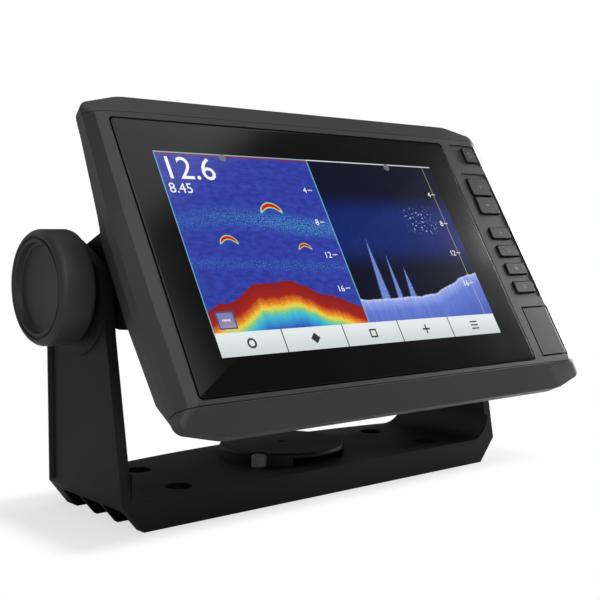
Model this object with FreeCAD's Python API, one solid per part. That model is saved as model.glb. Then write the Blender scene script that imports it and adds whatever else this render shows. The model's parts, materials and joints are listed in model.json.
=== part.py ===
"""Fish finder with a tilting head on a U-shaped bail bracket. All sizes are in millimetres.

Bracket frame: origin on the floor under the middle of the base, +X to the right, +Y back, +Z up.
Head frame: origin at the centre of the glass, x to the right, y straight back into the case, z up the face.
"""
import FreeCAD, Part
import math
import os

from FreeCAD import Placement, Rotation, Vector

# ---- placing of the head ------------------------------------------------------------------------------
LEAN = 30.5                     # how far the face leans back from upright, in degrees
PIVOT_Y = 6.9                   # tilt axis behind the middle of the base
PIVOT_Z = 92.9                  # tilt axis above the floor
PIVOT_DEPTH = 52.7              # tilt axis behind the glass
PIVOT_RISE = 13.9               # tilt axis above the middle of the glass, up the face

# ---- bail bracket -------------------------------------------------------------------------------------
ARM_SETBACK = 6.8               # the arms stand this far inside the sides of the case
ARM_WALL = 4.4
BASE_HALF_DEPTH = 29.0
BASE_SWELL = 13.6               # the back edge of the base bulges this far behind the arms
BASE_HEIGHT = 11.7
BASE_SKIN = 3.4                 # top of the base over the underside channels
FLANGE_WALL = 5.4               # front and back walls of the base
RIB_WALL = 2.6
RIB_COUNT = 2
FOOT_CUT_X = 9.4                # the lower outer corners are cut away this far in
FOOT_CUT_Z = 11.4               # and this far up
INNER_FILLET = 11.5
ARM_FRONT_FOOT = 29.0           # front edge of the arm in front of the middle, at the base
ARM_FRONT_SHOULDER = 18.4       # the same at the height of the shoulder
ARM_SHOULDER_Z = 74.0
ARM_BACK = 30.2                 # back edge of the arm
BEAD_RADIUS = 1.6               # rounded band down the back edge of each arm
BEAD_INSET = 3.6
PAD_RADIUS = 27.5               # raised pad around the knob
PAD_HEIGHT = 0.6
HUB_RADIUS = 29.0
HUB_TOP = 17.3
HUB_Y = 8.5
HUB_EDGE = 1.6
HUB_HOLE_RADIUS = 1.6
HUB_SLOT_LEFT = -14.0           # opening in the front of the hub, from the middle of the base
HUB_SLOT_RIGHT = 17.0
HUB_SLOT_DEPTH = 15.0
HUB_LID = 1.3                   # top of the hub over that opening
PLUG_RADIUS = 3.4               # round plug in the wall of the hub
PLUG_ANGLE = 211.0
PLUG_DROP = 0.7                 # its top lies this far under the top of the hub
BOSS_RADIUS = 9.0               # round bosses under the base, around the screw holes
CENTRE_BOSS_RADIUS = 14.0
MOUNT_HOLE_RADIUS = 2.8
MOUNT_HEAD_RADIUS = 5.6
MOUNT_HEAD_DEPTH = 4.0
REAR_HOLE_INSET = 37.6          # from the outside of the arm
REAR_HOLE_Y = 21.0
FRONT_HOLE_INSET = 34.4
FRONT_HOLE_Y = -15.0

# ---- knobs, bolts and washers -------------------------------------------------------------------------
BOLT_RADIUS = 3.0
BOLT_HEAD_RADIUS = 5.8
BOLT_HEAD_HEIGHT = 4.0
THREAD_REACH = 10.8             # threaded bush inside the ear
BOLT_END_GAP = 0.8              # the bolt stops short of the bottom of its hole
RUNNING = 0.06                  # radial clearance of a turning fit
KNOB_RADIUS = 22.8
KNOB_LENGTH = 14.7
KNOB_EDGE = 2.2
KNOB_DISH_RADIUS = 17.0
KNOB_DISH_DEPTH = 2.6
KNOB_RIDGE = 1.5                # raised ring around the dish
KNOB_WASHER_RADIUS = 11.0
KNOB_WASHER_HEIGHT = 0.8
EAR_WASHER_RADIUS = 13.0
EAR_WASHER_HEIGHT = 1.7
SLIP = 0.3                      # gap between faces that slide past each other

# ---- front of the case --------------------------------------------------------------------------------
RIM_SIDE = 0.9                  # flat front rim to the left of the glass
RIM_END = 2.6                   # and above and below it
KEY_COLUMN = 24.2               # and to its right, where the keys and the card door are
BEVEL_WIDTH = 9.3               # the case beyond the rim, at its sides
BEVEL_HEIGHT = 10.7             # and at its top and bottom
CASE_EDGE_DEPTH = 4.2           # the widest line of the case, behind the glass
BEZEL_DEPTH = 10.0
FACET_WIDTH = 4.6               # from the rim to the line between the two side facets
FACET_DEPTH = 1.3
CORNER_DROP = 4.8               # how far the top edge falls at the corners
CORNER_RUN = 18.0               # over this width
SIDE_BOW = 2.1                  # the sides draw in this much towards the corners
SIDE_FLAT = 18.0
CORNER_RADIUS = 4.5
SHOULDER_RADIUS = 22.0
UPPER_SEAM = 0.3                # split between bezel and upper trim cap, above the rim
LOWER_SEAM = 0.7                # and the lower one, inside the rim
SEAM_GAP = 0.3
CAP_SKIN = 1.5
CAP_GAP = 0.1
FACE_WALL = 4.6                 # bezel thickness behind the front rim
SIDE_WALL = 2.8
CAVITY_SIDE_STEP = 4.0          # the inside narrows towards the front by this
CAVITY_END_STEP = 9.0           # from the top and bottom of the case to the inside, at the front
DRAFT = 0.6                     # the side wall draws in towards the back

# ---- glass and display --------------------------------------------------------------------------------
DISPLAY_WIDTH = 165.0
DISPLAY_HEIGHT = 100.4
GLASS_LEFT_MARGIN = 9.3         # glass beyond the display
GLASS_RIGHT_MARGIN = 10.4
GLASS_END_MARGIN = 8.5
GLASS_THICKNESS = 1.8
GLASS_CORNER = 2.0
GASKET = 0.3
FIT = 0.15                      # clearance around pieces that sit in a pocket
LCD_THICKNESS = 3.0
BACKLIGHT_THICKNESS = 3.1
CHASSIS_THICKNESS = 1.0
CHASSIS_MARGIN = 7.0
WINDOW_WIDTH_SHARE = 0.745
WINDOW_HEIGHT_SHARE = 0.16
LAYER_GAP = 0.1

# ---- keys and card door -------------------------------------------------------------------------------
KEY_WIDTH = 14.0
KEY_BORDER = 2.6                # from the keys to the right end of the rim
KEY_PROUD = 0.45
KEY_TRAVEL = 0.8
KEY_CORNER = 1.2
KEY_GAP = 0.35
KEY_FLANGE = 0.9                # lip behind the bezel that keeps the key in
KEY_FLANGE_THICKNESS = 0.8
KEYPAD_SINK = 0.5               # the keys stand in a shallow recess
KEYPAD_LEFT_MARGIN = 2.6
KEYPAD_RIGHT_MARGIN = 2.2
KEYPAD_TOP_MARGIN = 3.0
KEYPAD_BOTTOM_MARGIN = 2.3
POWER_WIDTH = 8.4
POWER_HEIGHT = 8.6
POWER_OVERHANG = 0.5            # the power key stands this far right of the others
POWER_DROP = 1.9                # from the top of the glass
POWER_FRAME_ABOVE = 1.6
POWER_FRAME_BELOW = 2.2
POWER_FRAME_CORNER = 2.5
ZOOM_DROP = 9.6                 # from the power key to the zoom keys
ZOOM_HEIGHT = 9.7
ZOOM_SPLIT = 0.8
SMALL_KEY_DROP = 7.8            # from the zoom keys to the small keys
SMALL_KEY_HEIGHT = 6.1
SMALL_KEY_PITCH = 9.8
SMALL_KEY_COUNT = 4
MEMBRANE_THICKNESS = 0.6
DOME_RADIUS = 2.6
DOME_HEIGHT = 0.2
SWITCH_HEIGHT = 0.8
BOARD_THICKNESS = 1.2
DOOR_WIDTH = 19.0
DOOR_HEIGHT = 25.0
DOOR_OVERHANG = 3.3             # the door reaches this far right of the keys
DOOR_DROP = 5.2                 # from the recess of the keys
DOOR_RAISE = 1.3                # above the bottom of the glass
DOOR_THICKNESS = 3.0
DOOR_PIN_RADIUS = 0.6
CARD_WIDTH = 11.4
CARD_SLOT = 1.3
READER_LENGTH = 13.6
READER_HEIGHT = 4.0

# ---- rear of the case ---------------------------------------------------------------------------------
SEAL_HEIGHT = 0.5
SEAL_WIDTH = 1.5
SEAL_INSET = 0.9
TONGUE_HEIGHT = 1.4
TONGUE_WALL = 1.6
REAR_WALL = 2.4
REAR_INSET = 1.2                # the rear cover starts this far inside the bezel
REAR_EDGE_DEPTH = 21.8          # rounded lower edge of the rear cover
REAR_EDGE_SIDE = 5.0            # inside the sides of the case
REAR_EDGE_UPPER = 40.3          # below the top of the case
REAR_EDGE_LOWER = 13.5          # above the bottom of the case
REAR_FLAT_DEPTH = 24.8          # flat back of the sides
REAR_FLAT_SIDE = 7.2
REAR_FLAT_UPPER = 52.0
REAR_FLAT_LOWER = 46.0
HUMP_FOOT_DEPTH = 14.0          # raised middle of the rear cover
HUMP_FOOT_SIDE = 22.2
HUMP_FOOT_UPPER = 16.0
HUMP_FOOT_LOWER = 11.0
HUMP_DEPTH = 36.0
HUMP_SIDE = 30.2
HUMP_UPPER = 28.0
HUMP_LOWER = 22.0
CASE_SCREW_SIDE = 10.2          # from the sides of the case
CASE_SCREW_END = 10.5           # from its top and bottom
CASE_SCREW_RADIUS = 1.25
CASE_SCREW_LENGTH = 7.6
CASE_SCREW_HEAD = 2.6
CASE_SCREW_HEAD_HEIGHT = 1.8
CASE_BOSS_RADIUS = 3.1
SCREW_PAD_WALL = 1.4
SCREW_PAD_HEIGHT = 1.0
SEAT_WALL = 2.0

# ---- boards inside ------------------------------------------------------------------------------------
MAIN_BOARD_DEPTH = 15.0
MAIN_BOARD_WIDTH = 150.0
MAIN_BOARD_HEIGHT = 84.0
STANDOFF_RADIUS = 2.6
STANDOFF_INSET = 5.0
SMALL_SCREW_RADIUS = 0.85
SMALL_SCREW_HEAD = 1.9
SMALL_SCREW_HEAD_HEIGHT = 1.0
SHIELD_SIZE = 42.0
SHIELD_HEIGHT = 3.0
SHIELD_SKIN = 0.4
SHIELD_CORNER = 2.0
SPREADER_WIDTH = 88.0
SPREADER_HEIGHT = 60.0
SPREADER_THICKNESS = 2.0
SPREADER_CORNER = 4.0
ANTENNA_SIZE = 25.0
ANTENNA_HEIGHT = 4.0
BUZZER_RADIUS = 6.0
BUZZER_HEIGHT = 4.5
BUZZER_HOLE_RADIUS = 1.0

# ---- cradle -------------------------------------------------------------------------------------------
CRADLE_GAP = 0.8
CRADLE_PLATE = 4.5
CRADLE_SIDE = 4.0               # inside the hump
CRADLE_UPPER = 4.0
CRADLE_CORNER = 10.0
CRADLE_RIB = 3.0
BEAM_ABOVE = 12.1               # above the tilt axis
BEAM_BELOW = 19.9
BEAM_DEPTH = 9.0
BEAM_CELL_COUNT = 6
EAR_WIDTH = 11.4
EAR_RADIUS = 16.0
EAR_FRONT_REACH = 26.3          # in front of the tilt axis
EAR_FRONT_ABOVE = 12.1
EAR_FRONT_BELOW = 32.9
EAR_WAIST_REACH = 12.7
EAR_WAIST_BELOW = 25.9
INSERT_RADIUS = 5.4
SHELF_HALF_WIDTH = 52.0
SHELF_THICKNESS = 3.0
SHELF_REACH = 9.0
CONTACT_WIDTH = 50.0
CONTACT_HEIGHT = 16.0
CONTACT_RAISE = 22.0            # above the bottom of the hump
CONTACT_CORNER = 2.5
CONTACT_PITCH = 4.6
CONTACT_COUNT = 9
CONTACT_PIN_RADIUS = 0.9
POWER_SOCKET_X = -18.0
POWER_SOCKET_RADIUS = 7.0
POWER_CONTACT_COUNT = 4
SONAR_SOCKET_X = 16.0
SONAR_SOCKET_RADIUS = 9.0
SONAR_CONTACT_COUNT = 8
SOCKET_COLLAR = 2.0
SOCKET_WALL = 1.8
SOCKET_LENGTH = 12.0
SOCKET_BORE = 10.0
LATCH_HALF_WIDTH = 14.0
LATCH_BEHIND = 10.5             # latch pin behind the hump
LATCH_ABOVE = 4.4               # latch pin above the hump
LATCH_PIN_RADIUS = 1.2
LATCH_BARREL = 3.0
LATCH_ARM = 2.4
LATCH_TAB = 12.0
LATCH_RIDGE = 0.8               # ridges for the thumb
LATCH_RIDGE_SHARES = (0.5, 0.7, 0.9)
LUG_WALL = 3.4
HOOK_HALF_WIDTH = 10.0
HOOK_LENGTH = 3.2
HOOK_DROP = 2.6
HOOK_BACK = 14.2                # from the latch pin to the back of the hook
POCKET_GAP = 0.8
SPRING_WIRE = 0.35
SPRING_TURNS = 4
SPRING_PITCH = 0.9


# ---- small builders -----------------------------------------------------------------------------------
def block(x0, x1, y0, y1, z0, z1):
    """Box between two opposite corners."""
    return Part.makeBox(x1 - x0, y1 - y0, z1 - z0, Vector(x0, y0, z0))


def rod_x(radius, x0, x1, y, z):
    return Part.makeCylinder(radius, abs(x1 - x0), Vector(min(x0, x1), y, z), Vector(1, 0, 0))


def rod_y(radius, y0, y1, x, z):
    return Part.makeCylinder(radius, y1 - y0, Vector(x, y0, z), Vector(0, 1, 0))


def rod_z(radius, z0, z1, x, y):
    return Part.makeCylinder(radius, z1 - z0, Vector(x, y, z0), Vector(0, 0, 1))


def edges_along(shape, direction):
    """Straight edges of a shape that run along a direction."""
    found = []
    for edge in shape.Edges:
        run = edge.lastVertex().Point - edge.firstVertex().Point
        if run.Length > 1e-6 and abs(abs(run.normalize().dot(direction)) - 1) < 1e-6:
            found.append(edge)
    return found


def slab(x0, x1, y0, y1, z0, z1, radius):
    """Plate facing the front, with rounded corners."""
    plate = block(x0, x1, y0, y1, z0, z1)
    return plate.makeFillet(radius, edges_along(plate, Vector(0, 1, 0)))


def joined(shapes):
    shapes = list(shapes)
    return shapes[0].multiFuse(shapes[1:]).removeSplitter()


def group(shapes):
    return Part.makeCompound(list(shapes))


def profile_x(points, x0, x1):
    """Solid with a (y, z) outline, drawn out along X."""
    corners = [Vector(x0, y, z) for y, z in points]
    face = Part.Face(Part.makePolygon(corners + corners[:1]))
    return face.extrude(Vector(x1 - x0, 0, 0))


def profile_y(points, y0, y1):
    """Solid with an (x, z) outline, drawn out along Y."""
    corners = [Vector(x, y0, z) for x, z in points]
    face = Part.Face(Part.makePolygon(corners + corners[:1]))
    return face.extrude(Vector(0, y1 - y0, 0))


def mirrored(shape):
    """The same piece on the other side of the middle."""
    return shape.mirror(Vector(0, 0, 0), Vector(1, 0, 0))


def rounded_wire(corners, depth):
    """Closed outline at one depth: straight runs joined by tangent arcs. Corners are (x, z, radius)."""
    edges = []
    last = None
    first = None
    count = len(corners)
    for index in range(count):
        x, z, radius = corners[index]
        here = Vector(x, depth, z)
        before = Vector(corners[index - 1][0], depth, corners[index - 1][1]) - here
        after = Vector(corners[(index + 1) % count][0], depth, corners[(index + 1) % count][1]) - here
        half = before.getAngle(after) / 2
        before.normalize()
        after.normalize()
        reach = radius / math.tan(half)
        start = here + before * reach
        end = here + after * reach
        middle = before + after
        middle.normalize()
        crown = here + middle * (radius / math.sin(half) - radius)
        if last is not None:
            edges.append(Part.makeLine(last, start))
        else:
            first = start
        edges.append(Part.Arc(start, crown, end).toShape())
        last = end
    edges.append(Part.makeLine(last, first))
    return Part.Wire(edges)


def case_ring(depth, half_width, top, bottom, drop, bow, corner):
    """Outline across the case: bowed sides, and top and bottom edges that fall off at the corners."""
    right = [(half_width - bow - CORNER_RUN, top, SHOULDER_RADIUS),
             (half_width - bow, top - drop, corner),
             (half_width, min(SIDE_FLAT, top - drop - SHOULDER_RADIUS / 2), SHOULDER_RADIUS),
             (half_width, max(-SIDE_FLAT, bottom + drop + SHOULDER_RADIUS / 4), SHOULDER_RADIUS),
             (half_width - bow, bottom + drop, corner),
             (half_width - bow - CORNER_RUN, bottom, SHOULDER_RADIUS)]
    left = [(-x, z, radius) for x, z, radius in reversed(right)]
    return rounded_wire(right + left, depth)


def loft(wires):
    return Part.makeLoft(wires, True, True)


def in_place(shape):
    """Move a piece from the head frame to its place over the bracket."""
    turned = shape.copy()
    lean = Rotation(Vector(1, 0, 0), -LEAN)
    pivot = Vector(0, PIVOT_Y, PIVOT_Z) - lean.multVec(Vector(0, PIVOT_DEPTH, PIVOT_RISE))
    turned.Placement = Placement(pivot, lean).multiply(turned.Placement)
    return turned


# ---- places worked out from the sizes -----------------------------------------------------------------
KEYPAD_HEIGHT = (KEYPAD_TOP_MARGIN + 2 * ZOOM_HEIGHT + ZOOM_SPLIT + SMALL_KEY_DROP
                 + (SMALL_KEY_COUNT - 1) * SMALL_KEY_PITCH + SMALL_KEY_HEIGHT + KEYPAD_BOTTOM_MARGIN)
COLUMN_HEIGHT = (POWER_DROP + POWER_HEIGHT + ZOOM_DROP - KEYPAD_TOP_MARGIN + KEYPAD_HEIGHT + DOOR_DROP
                 + DOOR_HEIGHT + DOOR_RAISE)
GLASS_HALF_HEIGHT = max(DISPLAY_HEIGHT + 2 * GLASS_END_MARGIN, COLUMN_HEIGHT) / 2
GLASS_WIDTH = GLASS_LEFT_MARGIN + DISPLAY_WIDTH + GLASS_RIGHT_MARGIN
RIM_HALF_WIDTH = (RIM_SIDE + GLASS_WIDTH + KEY_COLUMN) / 2
RIM_HALF_HEIGHT = GLASS_HALF_HEIGHT + RIM_END
FACET_HALF_WIDTH = RIM_HALF_WIDTH + FACET_WIDTH
CASE_HALF_WIDTH = RIM_HALF_WIDTH + BEVEL_WIDTH
CASE_HALF_HEIGHT = RIM_HALF_HEIGHT + BEVEL_HEIGHT
SEAM_TOP = RIM_HALF_HEIGHT + UPPER_SEAM
SEAM_BOTTOM = LOWER_SEAM - RIM_HALF_HEIGHT
GLASS_LEFT = RIM_SIDE - RIM_HALF_WIDTH
GLASS_RIGHT = GLASS_LEFT + GLASS_WIDTH
DISPLAY_X = GLASS_LEFT + GLASS_LEFT_MARGIN + DISPLAY_WIDTH / 2
KEY_RIGHT = RIM_HALF_WIDTH - KEY_BORDER
KEY_LEFT = KEY_RIGHT - KEY_WIDTH
POWER_RIGHT = KEY_RIGHT + POWER_OVERHANG
POWER_LEFT = POWER_RIGHT - POWER_WIDTH
POWER_TOP = GLASS_HALF_HEIGHT - POWER_DROP
POWER_BOTTOM = POWER_TOP - POWER_HEIGHT
POWER_FRAME_TOP = POWER_TOP + POWER_FRAME_ABOVE
POWER_FRAME_BOTTOM = POWER_BOTTOM - POWER_FRAME_BELOW
ZOOM_IN_TOP = POWER_BOTTOM - ZOOM_DROP
KEYPAD_LEFT = KEY_LEFT - KEYPAD_LEFT_MARGIN
KEYPAD_RIGHT = KEY_RIGHT + KEYPAD_RIGHT_MARGIN
KEYPAD_TOP = ZOOM_IN_TOP + KEYPAD_TOP_MARGIN
KEYPAD_BOTTOM = KEYPAD_TOP - KEYPAD_HEIGHT
DOOR_RIGHT = KEY_RIGHT + DOOR_OVERHANG
DOOR_LEFT = DOOR_RIGHT - DOOR_WIDTH
DOOR_BOTTOM = DOOR_RAISE - GLASS_HALF_HEIGHT
DOOR_TOP = DOOR_BOTTOM + DOOR_HEIGHT
REAR_EDGE_HALF_WIDTH = CASE_HALF_WIDTH - REAR_EDGE_SIDE
REAR_EDGE_TOP = CASE_HALF_HEIGHT - REAR_EDGE_UPPER
REAR_EDGE_BOTTOM = REAR_EDGE_LOWER - CASE_HALF_HEIGHT
REAR_FLAT_HALF_WIDTH = CASE_HALF_WIDTH - REAR_FLAT_SIDE
REAR_FLAT_TOP = CASE_HALF_HEIGHT - REAR_FLAT_UPPER
REAR_FLAT_BOTTOM = REAR_FLAT_LOWER - CASE_HALF_HEIGHT
HUMP_FOOT_HALF_WIDTH = CASE_HALF_WIDTH - HUMP_FOOT_SIDE
HUMP_FOOT_TOP = CASE_HALF_HEIGHT - HUMP_FOOT_UPPER
HUMP_FOOT_BOTTOM = HUMP_FOOT_LOWER - CASE_HALF_HEIGHT
HUMP_HALF_WIDTH = CASE_HALF_WIDTH - HUMP_SIDE
HUMP_TOP = CASE_HALF_HEIGHT - HUMP_UPPER
HUMP_BOTTOM = HUMP_LOWER - CASE_HALF_HEIGHT
CASE_SCREW_X = CASE_HALF_WIDTH - CASE_SCREW_SIDE
CASE_SCREW_Z = CASE_HALF_HEIGHT - CASE_SCREW_END
ARM_OUTSIDE = CASE_HALF_WIDTH - ARM_SETBACK
REAR_HOLE_X = ARM_OUTSIDE - REAR_HOLE_INSET
FRONT_HOLE_X = ARM_OUTSIDE - FRONT_HOLE_INSET
CRADLE_HALF_WIDTH = HUMP_HALF_WIDTH - CRADLE_SIDE
CRADLE_TOP = HUMP_TOP - CRADLE_UPPER
CRADLE_BOTTOM = HUMP_BOTTOM
BEAM_TOP = PIVOT_RISE + BEAM_ABOVE
BEAM_BOTTOM = PIVOT_RISE - BEAM_BELOW
CONTACT_Z = HUMP_BOTTOM + CONTACT_RAISE
LATCH_DEPTH = HUMP_DEPTH + LATCH_BEHIND
LATCH_RISE = HUMP_TOP + LATCH_ABOVE
ARM_INSIDE = ARM_OUTSIDE - ARM_WALL
PAD_FACE = ARM_OUTSIDE + PAD_HEIGHT
ARM_TOP_RADIUS = ARM_BACK - PIVOT_Y
SWELL_RADIUS = (ARM_OUTSIDE ** 2 + BASE_SWELL ** 2) / (2 * BASE_SWELL)
SWELL_Y = ARM_BACK + BASE_SWELL - SWELL_RADIUS
PLUG_X = HUB_RADIUS * math.cos(math.radians(PLUG_ANGLE))
PLUG_Y = HUB_Y + HUB_RADIUS * math.sin(math.radians(PLUG_ANGLE))
KNOB_BACK = PAD_FACE + KNOB_WASHER_HEIGHT + SLIP
EAR_OUTSIDE = ARM_INSIDE - SLIP - EAR_WASHER_HEIGHT
EAR_INSIDE = EAR_OUTSIDE - EAR_WIDTH
GLASS_SEAT = GLASS_THICKNESS + GASKET
LCD_FRONT = GLASS_SEAT + LAYER_GAP
BACKLIGHT_FRONT = LCD_FRONT + LCD_THICKNESS + LAYER_GAP
CHASSIS_FRONT = BACKLIGHT_FRONT + BACKLIGHT_THICKNESS + LAYER_GAP
CHASSIS_BACK = CHASSIS_FRONT + CHASSIS_THICKNESS
DISPLAY_LEFT = DISPLAY_X - DISPLAY_WIDTH / 2
DISPLAY_RIGHT = DISPLAY_X + DISPLAY_WIDTH / 2
FLANGE_BACK = FACE_WALL + KEY_GAP + KEY_FLANGE_THICKNESS
MEMBRANE_FRONT = FLANGE_BACK + KEY_TRAVEL + DOME_HEIGHT + LAYER_GAP
SWITCH_FRONT = MEMBRANE_FRONT + MEMBRANE_THICKNESS
KEY_BOARD_FRONT = SWITCH_FRONT + SWITCH_HEIGHT
REAR_FRONT = BEZEL_DEPTH + SEAL_HEIGHT
MAIN_BOARD_BACK = MAIN_BOARD_DEPTH + BOARD_THICKNESS
SHIELD_BACK = MAIN_BOARD_BACK + SHIELD_HEIGHT
CRADLE_FRONT = HUMP_DEPTH + CRADLE_GAP
CRADLE_BACK = CRADLE_FRONT + CRADLE_PLATE
BEAM_BACK = CRADLE_FRONT + BEAM_DEPTH
DOOR_AXIS_X = DOOR_RIGHT - DOOR_THICKNESS / 2
DOOR_AXIS_Y = DOOR_THICKNESS / 2
DOOR_MIDDLE_X = (DOOR_LEFT + DOOR_RIGHT) / 2
CARD_Z = (DOOR_TOP + DOOR_BOTTOM) / 2
KEY_MIDDLE_X = (KEY_LEFT + KEY_RIGHT) / 2
ZOOM_OUT_TOP = ZOOM_IN_TOP - ZOOM_HEIGHT - ZOOM_SPLIT
ZOOM_OUT_BOTTOM = ZOOM_OUT_TOP - ZOOM_HEIGHT
SMALL_KEY_TOP = ZOOM_OUT_BOTTOM - SMALL_KEY_DROP
KEYS = {"power_key": (POWER_LEFT, POWER_RIGHT, POWER_BOTTOM, POWER_TOP),
        "zoom_in_key": (KEY_LEFT, KEY_RIGHT, ZOOM_IN_TOP - ZOOM_HEIGHT, ZOOM_IN_TOP),
        "zoom_out_key": (KEY_LEFT, KEY_RIGHT, ZOOM_OUT_BOTTOM, ZOOM_OUT_TOP)}
for number in range(SMALL_KEY_COUNT):
    key_top = SMALL_KEY_TOP - number * SMALL_KEY_PITCH
    KEYS["menu_key_%d" % (number + 1)] = (KEY_LEFT, KEY_RIGHT, key_top - SMALL_KEY_HEIGHT, key_top)
KEY_SCREWS = [(KEY_MIDDLE_X, (POWER_FRAME_BOTTOM + ZOOM_IN_TOP) / 2 + KEY_FLANGE / 2),
              (KEY_MIDDLE_X, (ZOOM_OUT_BOTTOM + SMALL_KEY_TOP) / 2)]
CASE_SCREWS = [(side * CASE_SCREW_X, level * CASE_SCREW_Z) for side in (-1, 1) for level in (-1, 1)]
CASE_SCREWS += [(0, level * CASE_SCREW_Z) for level in (-1, 1)]
CHASSIS_SCREWS = [(x, level * (DISPLAY_HEIGHT + CHASSIS_MARGIN) / 2) for level in (-1, 1)
                  for x in (DISPLAY_LEFT - CHASSIS_MARGIN / 2, DISPLAY_RIGHT + CHASSIS_MARGIN / 2)]
BOARD_SCREWS = [(DISPLAY_X + side * (MAIN_BOARD_WIDTH / 2 - STANDOFF_INSET),
                 level * (MAIN_BOARD_HEIGHT / 2 - STANDOFF_INSET)) for side in (-1, 1) for level in (-1, 1)]


# ---- bail bracket -------------------------------------------------------------------------------------
def base_outline(inset, low, high):
    """Plan of the base from low to high: straight in front, bulging behind."""
    wide = ARM_OUTSIDE
    front = block(-wide, wide, inset - BASE_HALF_DEPTH, 2 * BASE_HALF_DEPTH, low, high)
    return front.common(rod_z(SWELL_RADIUS - inset, low, high, 0, SWELL_Y))


def bail_bracket():
    """Base with ribs underneath, two arms and a round hub, moulded as one piece."""
    arm_outline = [(ARM_BACK, 0), (ARM_BACK, PIVOT_Z), (PIVOT_Y, PIVOT_Z),
                   (PIVOT_Y - ARM_TOP_RADIUS, PIVOT_Z), (-ARM_FRONT_SHOULDER, ARM_SHOULDER_Z),
                   (-ARM_FRONT_FOOT, BASE_HEIGHT), (-ARM_FRONT_FOOT, 0)]
    solids = [base_outline(0, 0, BASE_HEIGHT)]
    inner_corner = base_outline(0, BASE_HEIGHT, BASE_HEIGHT + INNER_FILLET).common(
        block(ARM_INSIDE - INNER_FILLET, ARM_INSIDE, -ARM_FRONT_FOOT, 2 * BASE_HALF_DEPTH, 0, PIVOT_Z))
    round_cut = Part.makeCylinder(INNER_FILLET, 4 * BASE_HALF_DEPTH,
                                  Vector(ARM_INSIDE - INNER_FILLET, -2 * BASE_HALF_DEPTH,
                                         BASE_HEIGHT + INNER_FILLET), Vector(0, 1, 0))
    pad = joined([profile_x(arm_outline, ARM_OUTSIDE, PAD_FACE),
                  rod_x(ARM_TOP_RADIUS, ARM_OUTSIDE, PAD_FACE, PIVOT_Y, PIVOT_Z)])
    arm = joined([profile_x(arm_outline, ARM_INSIDE, ARM_OUTSIDE),
                  rod_x(ARM_TOP_RADIUS, ARM_INSIDE, ARM_OUTSIDE, PIVOT_Y, PIVOT_Z),
                  inner_corner.cut(round_cut),
                  pad.common(rod_x(PAD_RADIUS, ARM_OUTSIDE, PAD_FACE, PIVOT_Y, PIVOT_Z)),
                  rod_z(BEAD_RADIUS, FOOT_CUT_Z + BEAD_RADIUS, PIVOT_Z,
                        ARM_OUTSIDE, ARM_BACK - BEAD_INSET)])
    solids += [arm, mirrored(arm)]
    hub = rod_z(HUB_RADIUS, 0, HUB_TOP, 0, HUB_Y)
    rim = [edge for edge in hub.Edges if abs(edge.BoundBox.ZMin - HUB_TOP) < 1e-6]
    solids.append(hub.makeFillet(HUB_EDGE, rim))
    body = joined(solids)
    inner = BASE_HALF_DEPTH - FLANGE_WALL
    channel = (2 * inner - RIB_COUNT * RIB_WALL) / (RIB_COUNT + 1)
    holes = [(side * REAR_HOLE_X, REAR_HOLE_Y) for side in (-1, 1)]
    holes += [(side * FRONT_HOLE_X, FRONT_HOLE_Y) for side in (-1, 1)]
    bosses = [rod_z(BOSS_RADIUS, 0, BASE_HEIGHT, x, y) for x, y in holes]
    bosses.append(rod_z(CENTRE_BOSS_RADIUS, 0, BASE_HEIGHT, 0, 0))
    behind = base_outline(FLANGE_WALL, -1, BASE_HEIGHT - BASE_SKIN)
    body = body.cut(behind.cut(block(-ARM_OUTSIDE, ARM_OUTSIDE, -BASE_HALF_DEPTH, BASE_HALF_DEPTH, -2,
                                     BASE_HEIGHT)))
    for row in range(RIB_COUNT + 1):
        front = -inner + row * (channel + RIB_WALL)
        pocket = block(-ARM_OUTSIDE, ARM_OUTSIDE, front, front + channel, -1, BASE_HEIGHT - BASE_SKIN)
        for boss in bosses:
            pocket = pocket.cut(boss)
        body = body.cut(pocket)
    for side in (-1, 1):
        corner = [(side * ARM_OUTSIDE, 0), (side * (ARM_OUTSIDE - FOOT_CUT_X), 0),
                  (side * ARM_OUTSIDE, FOOT_CUT_Z)]
        body = body.cut(profile_y(corner, -ARM_FRONT_FOOT - 1, 2 * BASE_HALF_DEPTH))
        body = body.cut(rod_x(BOLT_RADIUS + RUNNING, side * ARM_INSIDE - side, side * PAD_FACE + side,
                              PIVOT_Y, PIVOT_Z))
    for x, y in holes:
        body = body.cut(rod_z(MOUNT_HOLE_RADIUS, -1, BASE_HEIGHT + 1, x, y))
        body = body.cut(rod_z(MOUNT_HEAD_RADIUS, BASE_HEIGHT - MOUNT_HEAD_DEPTH, BASE_HEIGHT + 1, x, y))
    body = body.cut(rod_z(HUB_HOLE_RADIUS, HUB_TOP - HUB_EDGE, HUB_TOP + 1, 0, HUB_Y))
    hub_front = HUB_Y - HUB_RADIUS
    body = body.cut(block(HUB_SLOT_LEFT, HUB_SLOT_RIGHT, hub_front - 1, hub_front + HUB_SLOT_DEPTH,
                          BASE_HEIGHT, HUB_TOP - HUB_LID - HUB_EDGE / 2))
    return body.cut(rod_z(PLUG_RADIUS, BASE_HEIGHT, HUB_TOP + 1, PLUG_X, PLUG_Y)).removeSplitter()


def hub_plug():
    """Pale plug that closes the side of the hub."""
    plug = rod_z(PLUG_RADIUS, BASE_HEIGHT, HUB_TOP - PLUG_DROP, PLUG_X, PLUG_Y)
    rim = [edge for edge in plug.Edges if edge.BoundBox.ZMin > BASE_HEIGHT + 1]
    return plug.makeFillet(PLUG_RADIUS / 4, rim)


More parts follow.
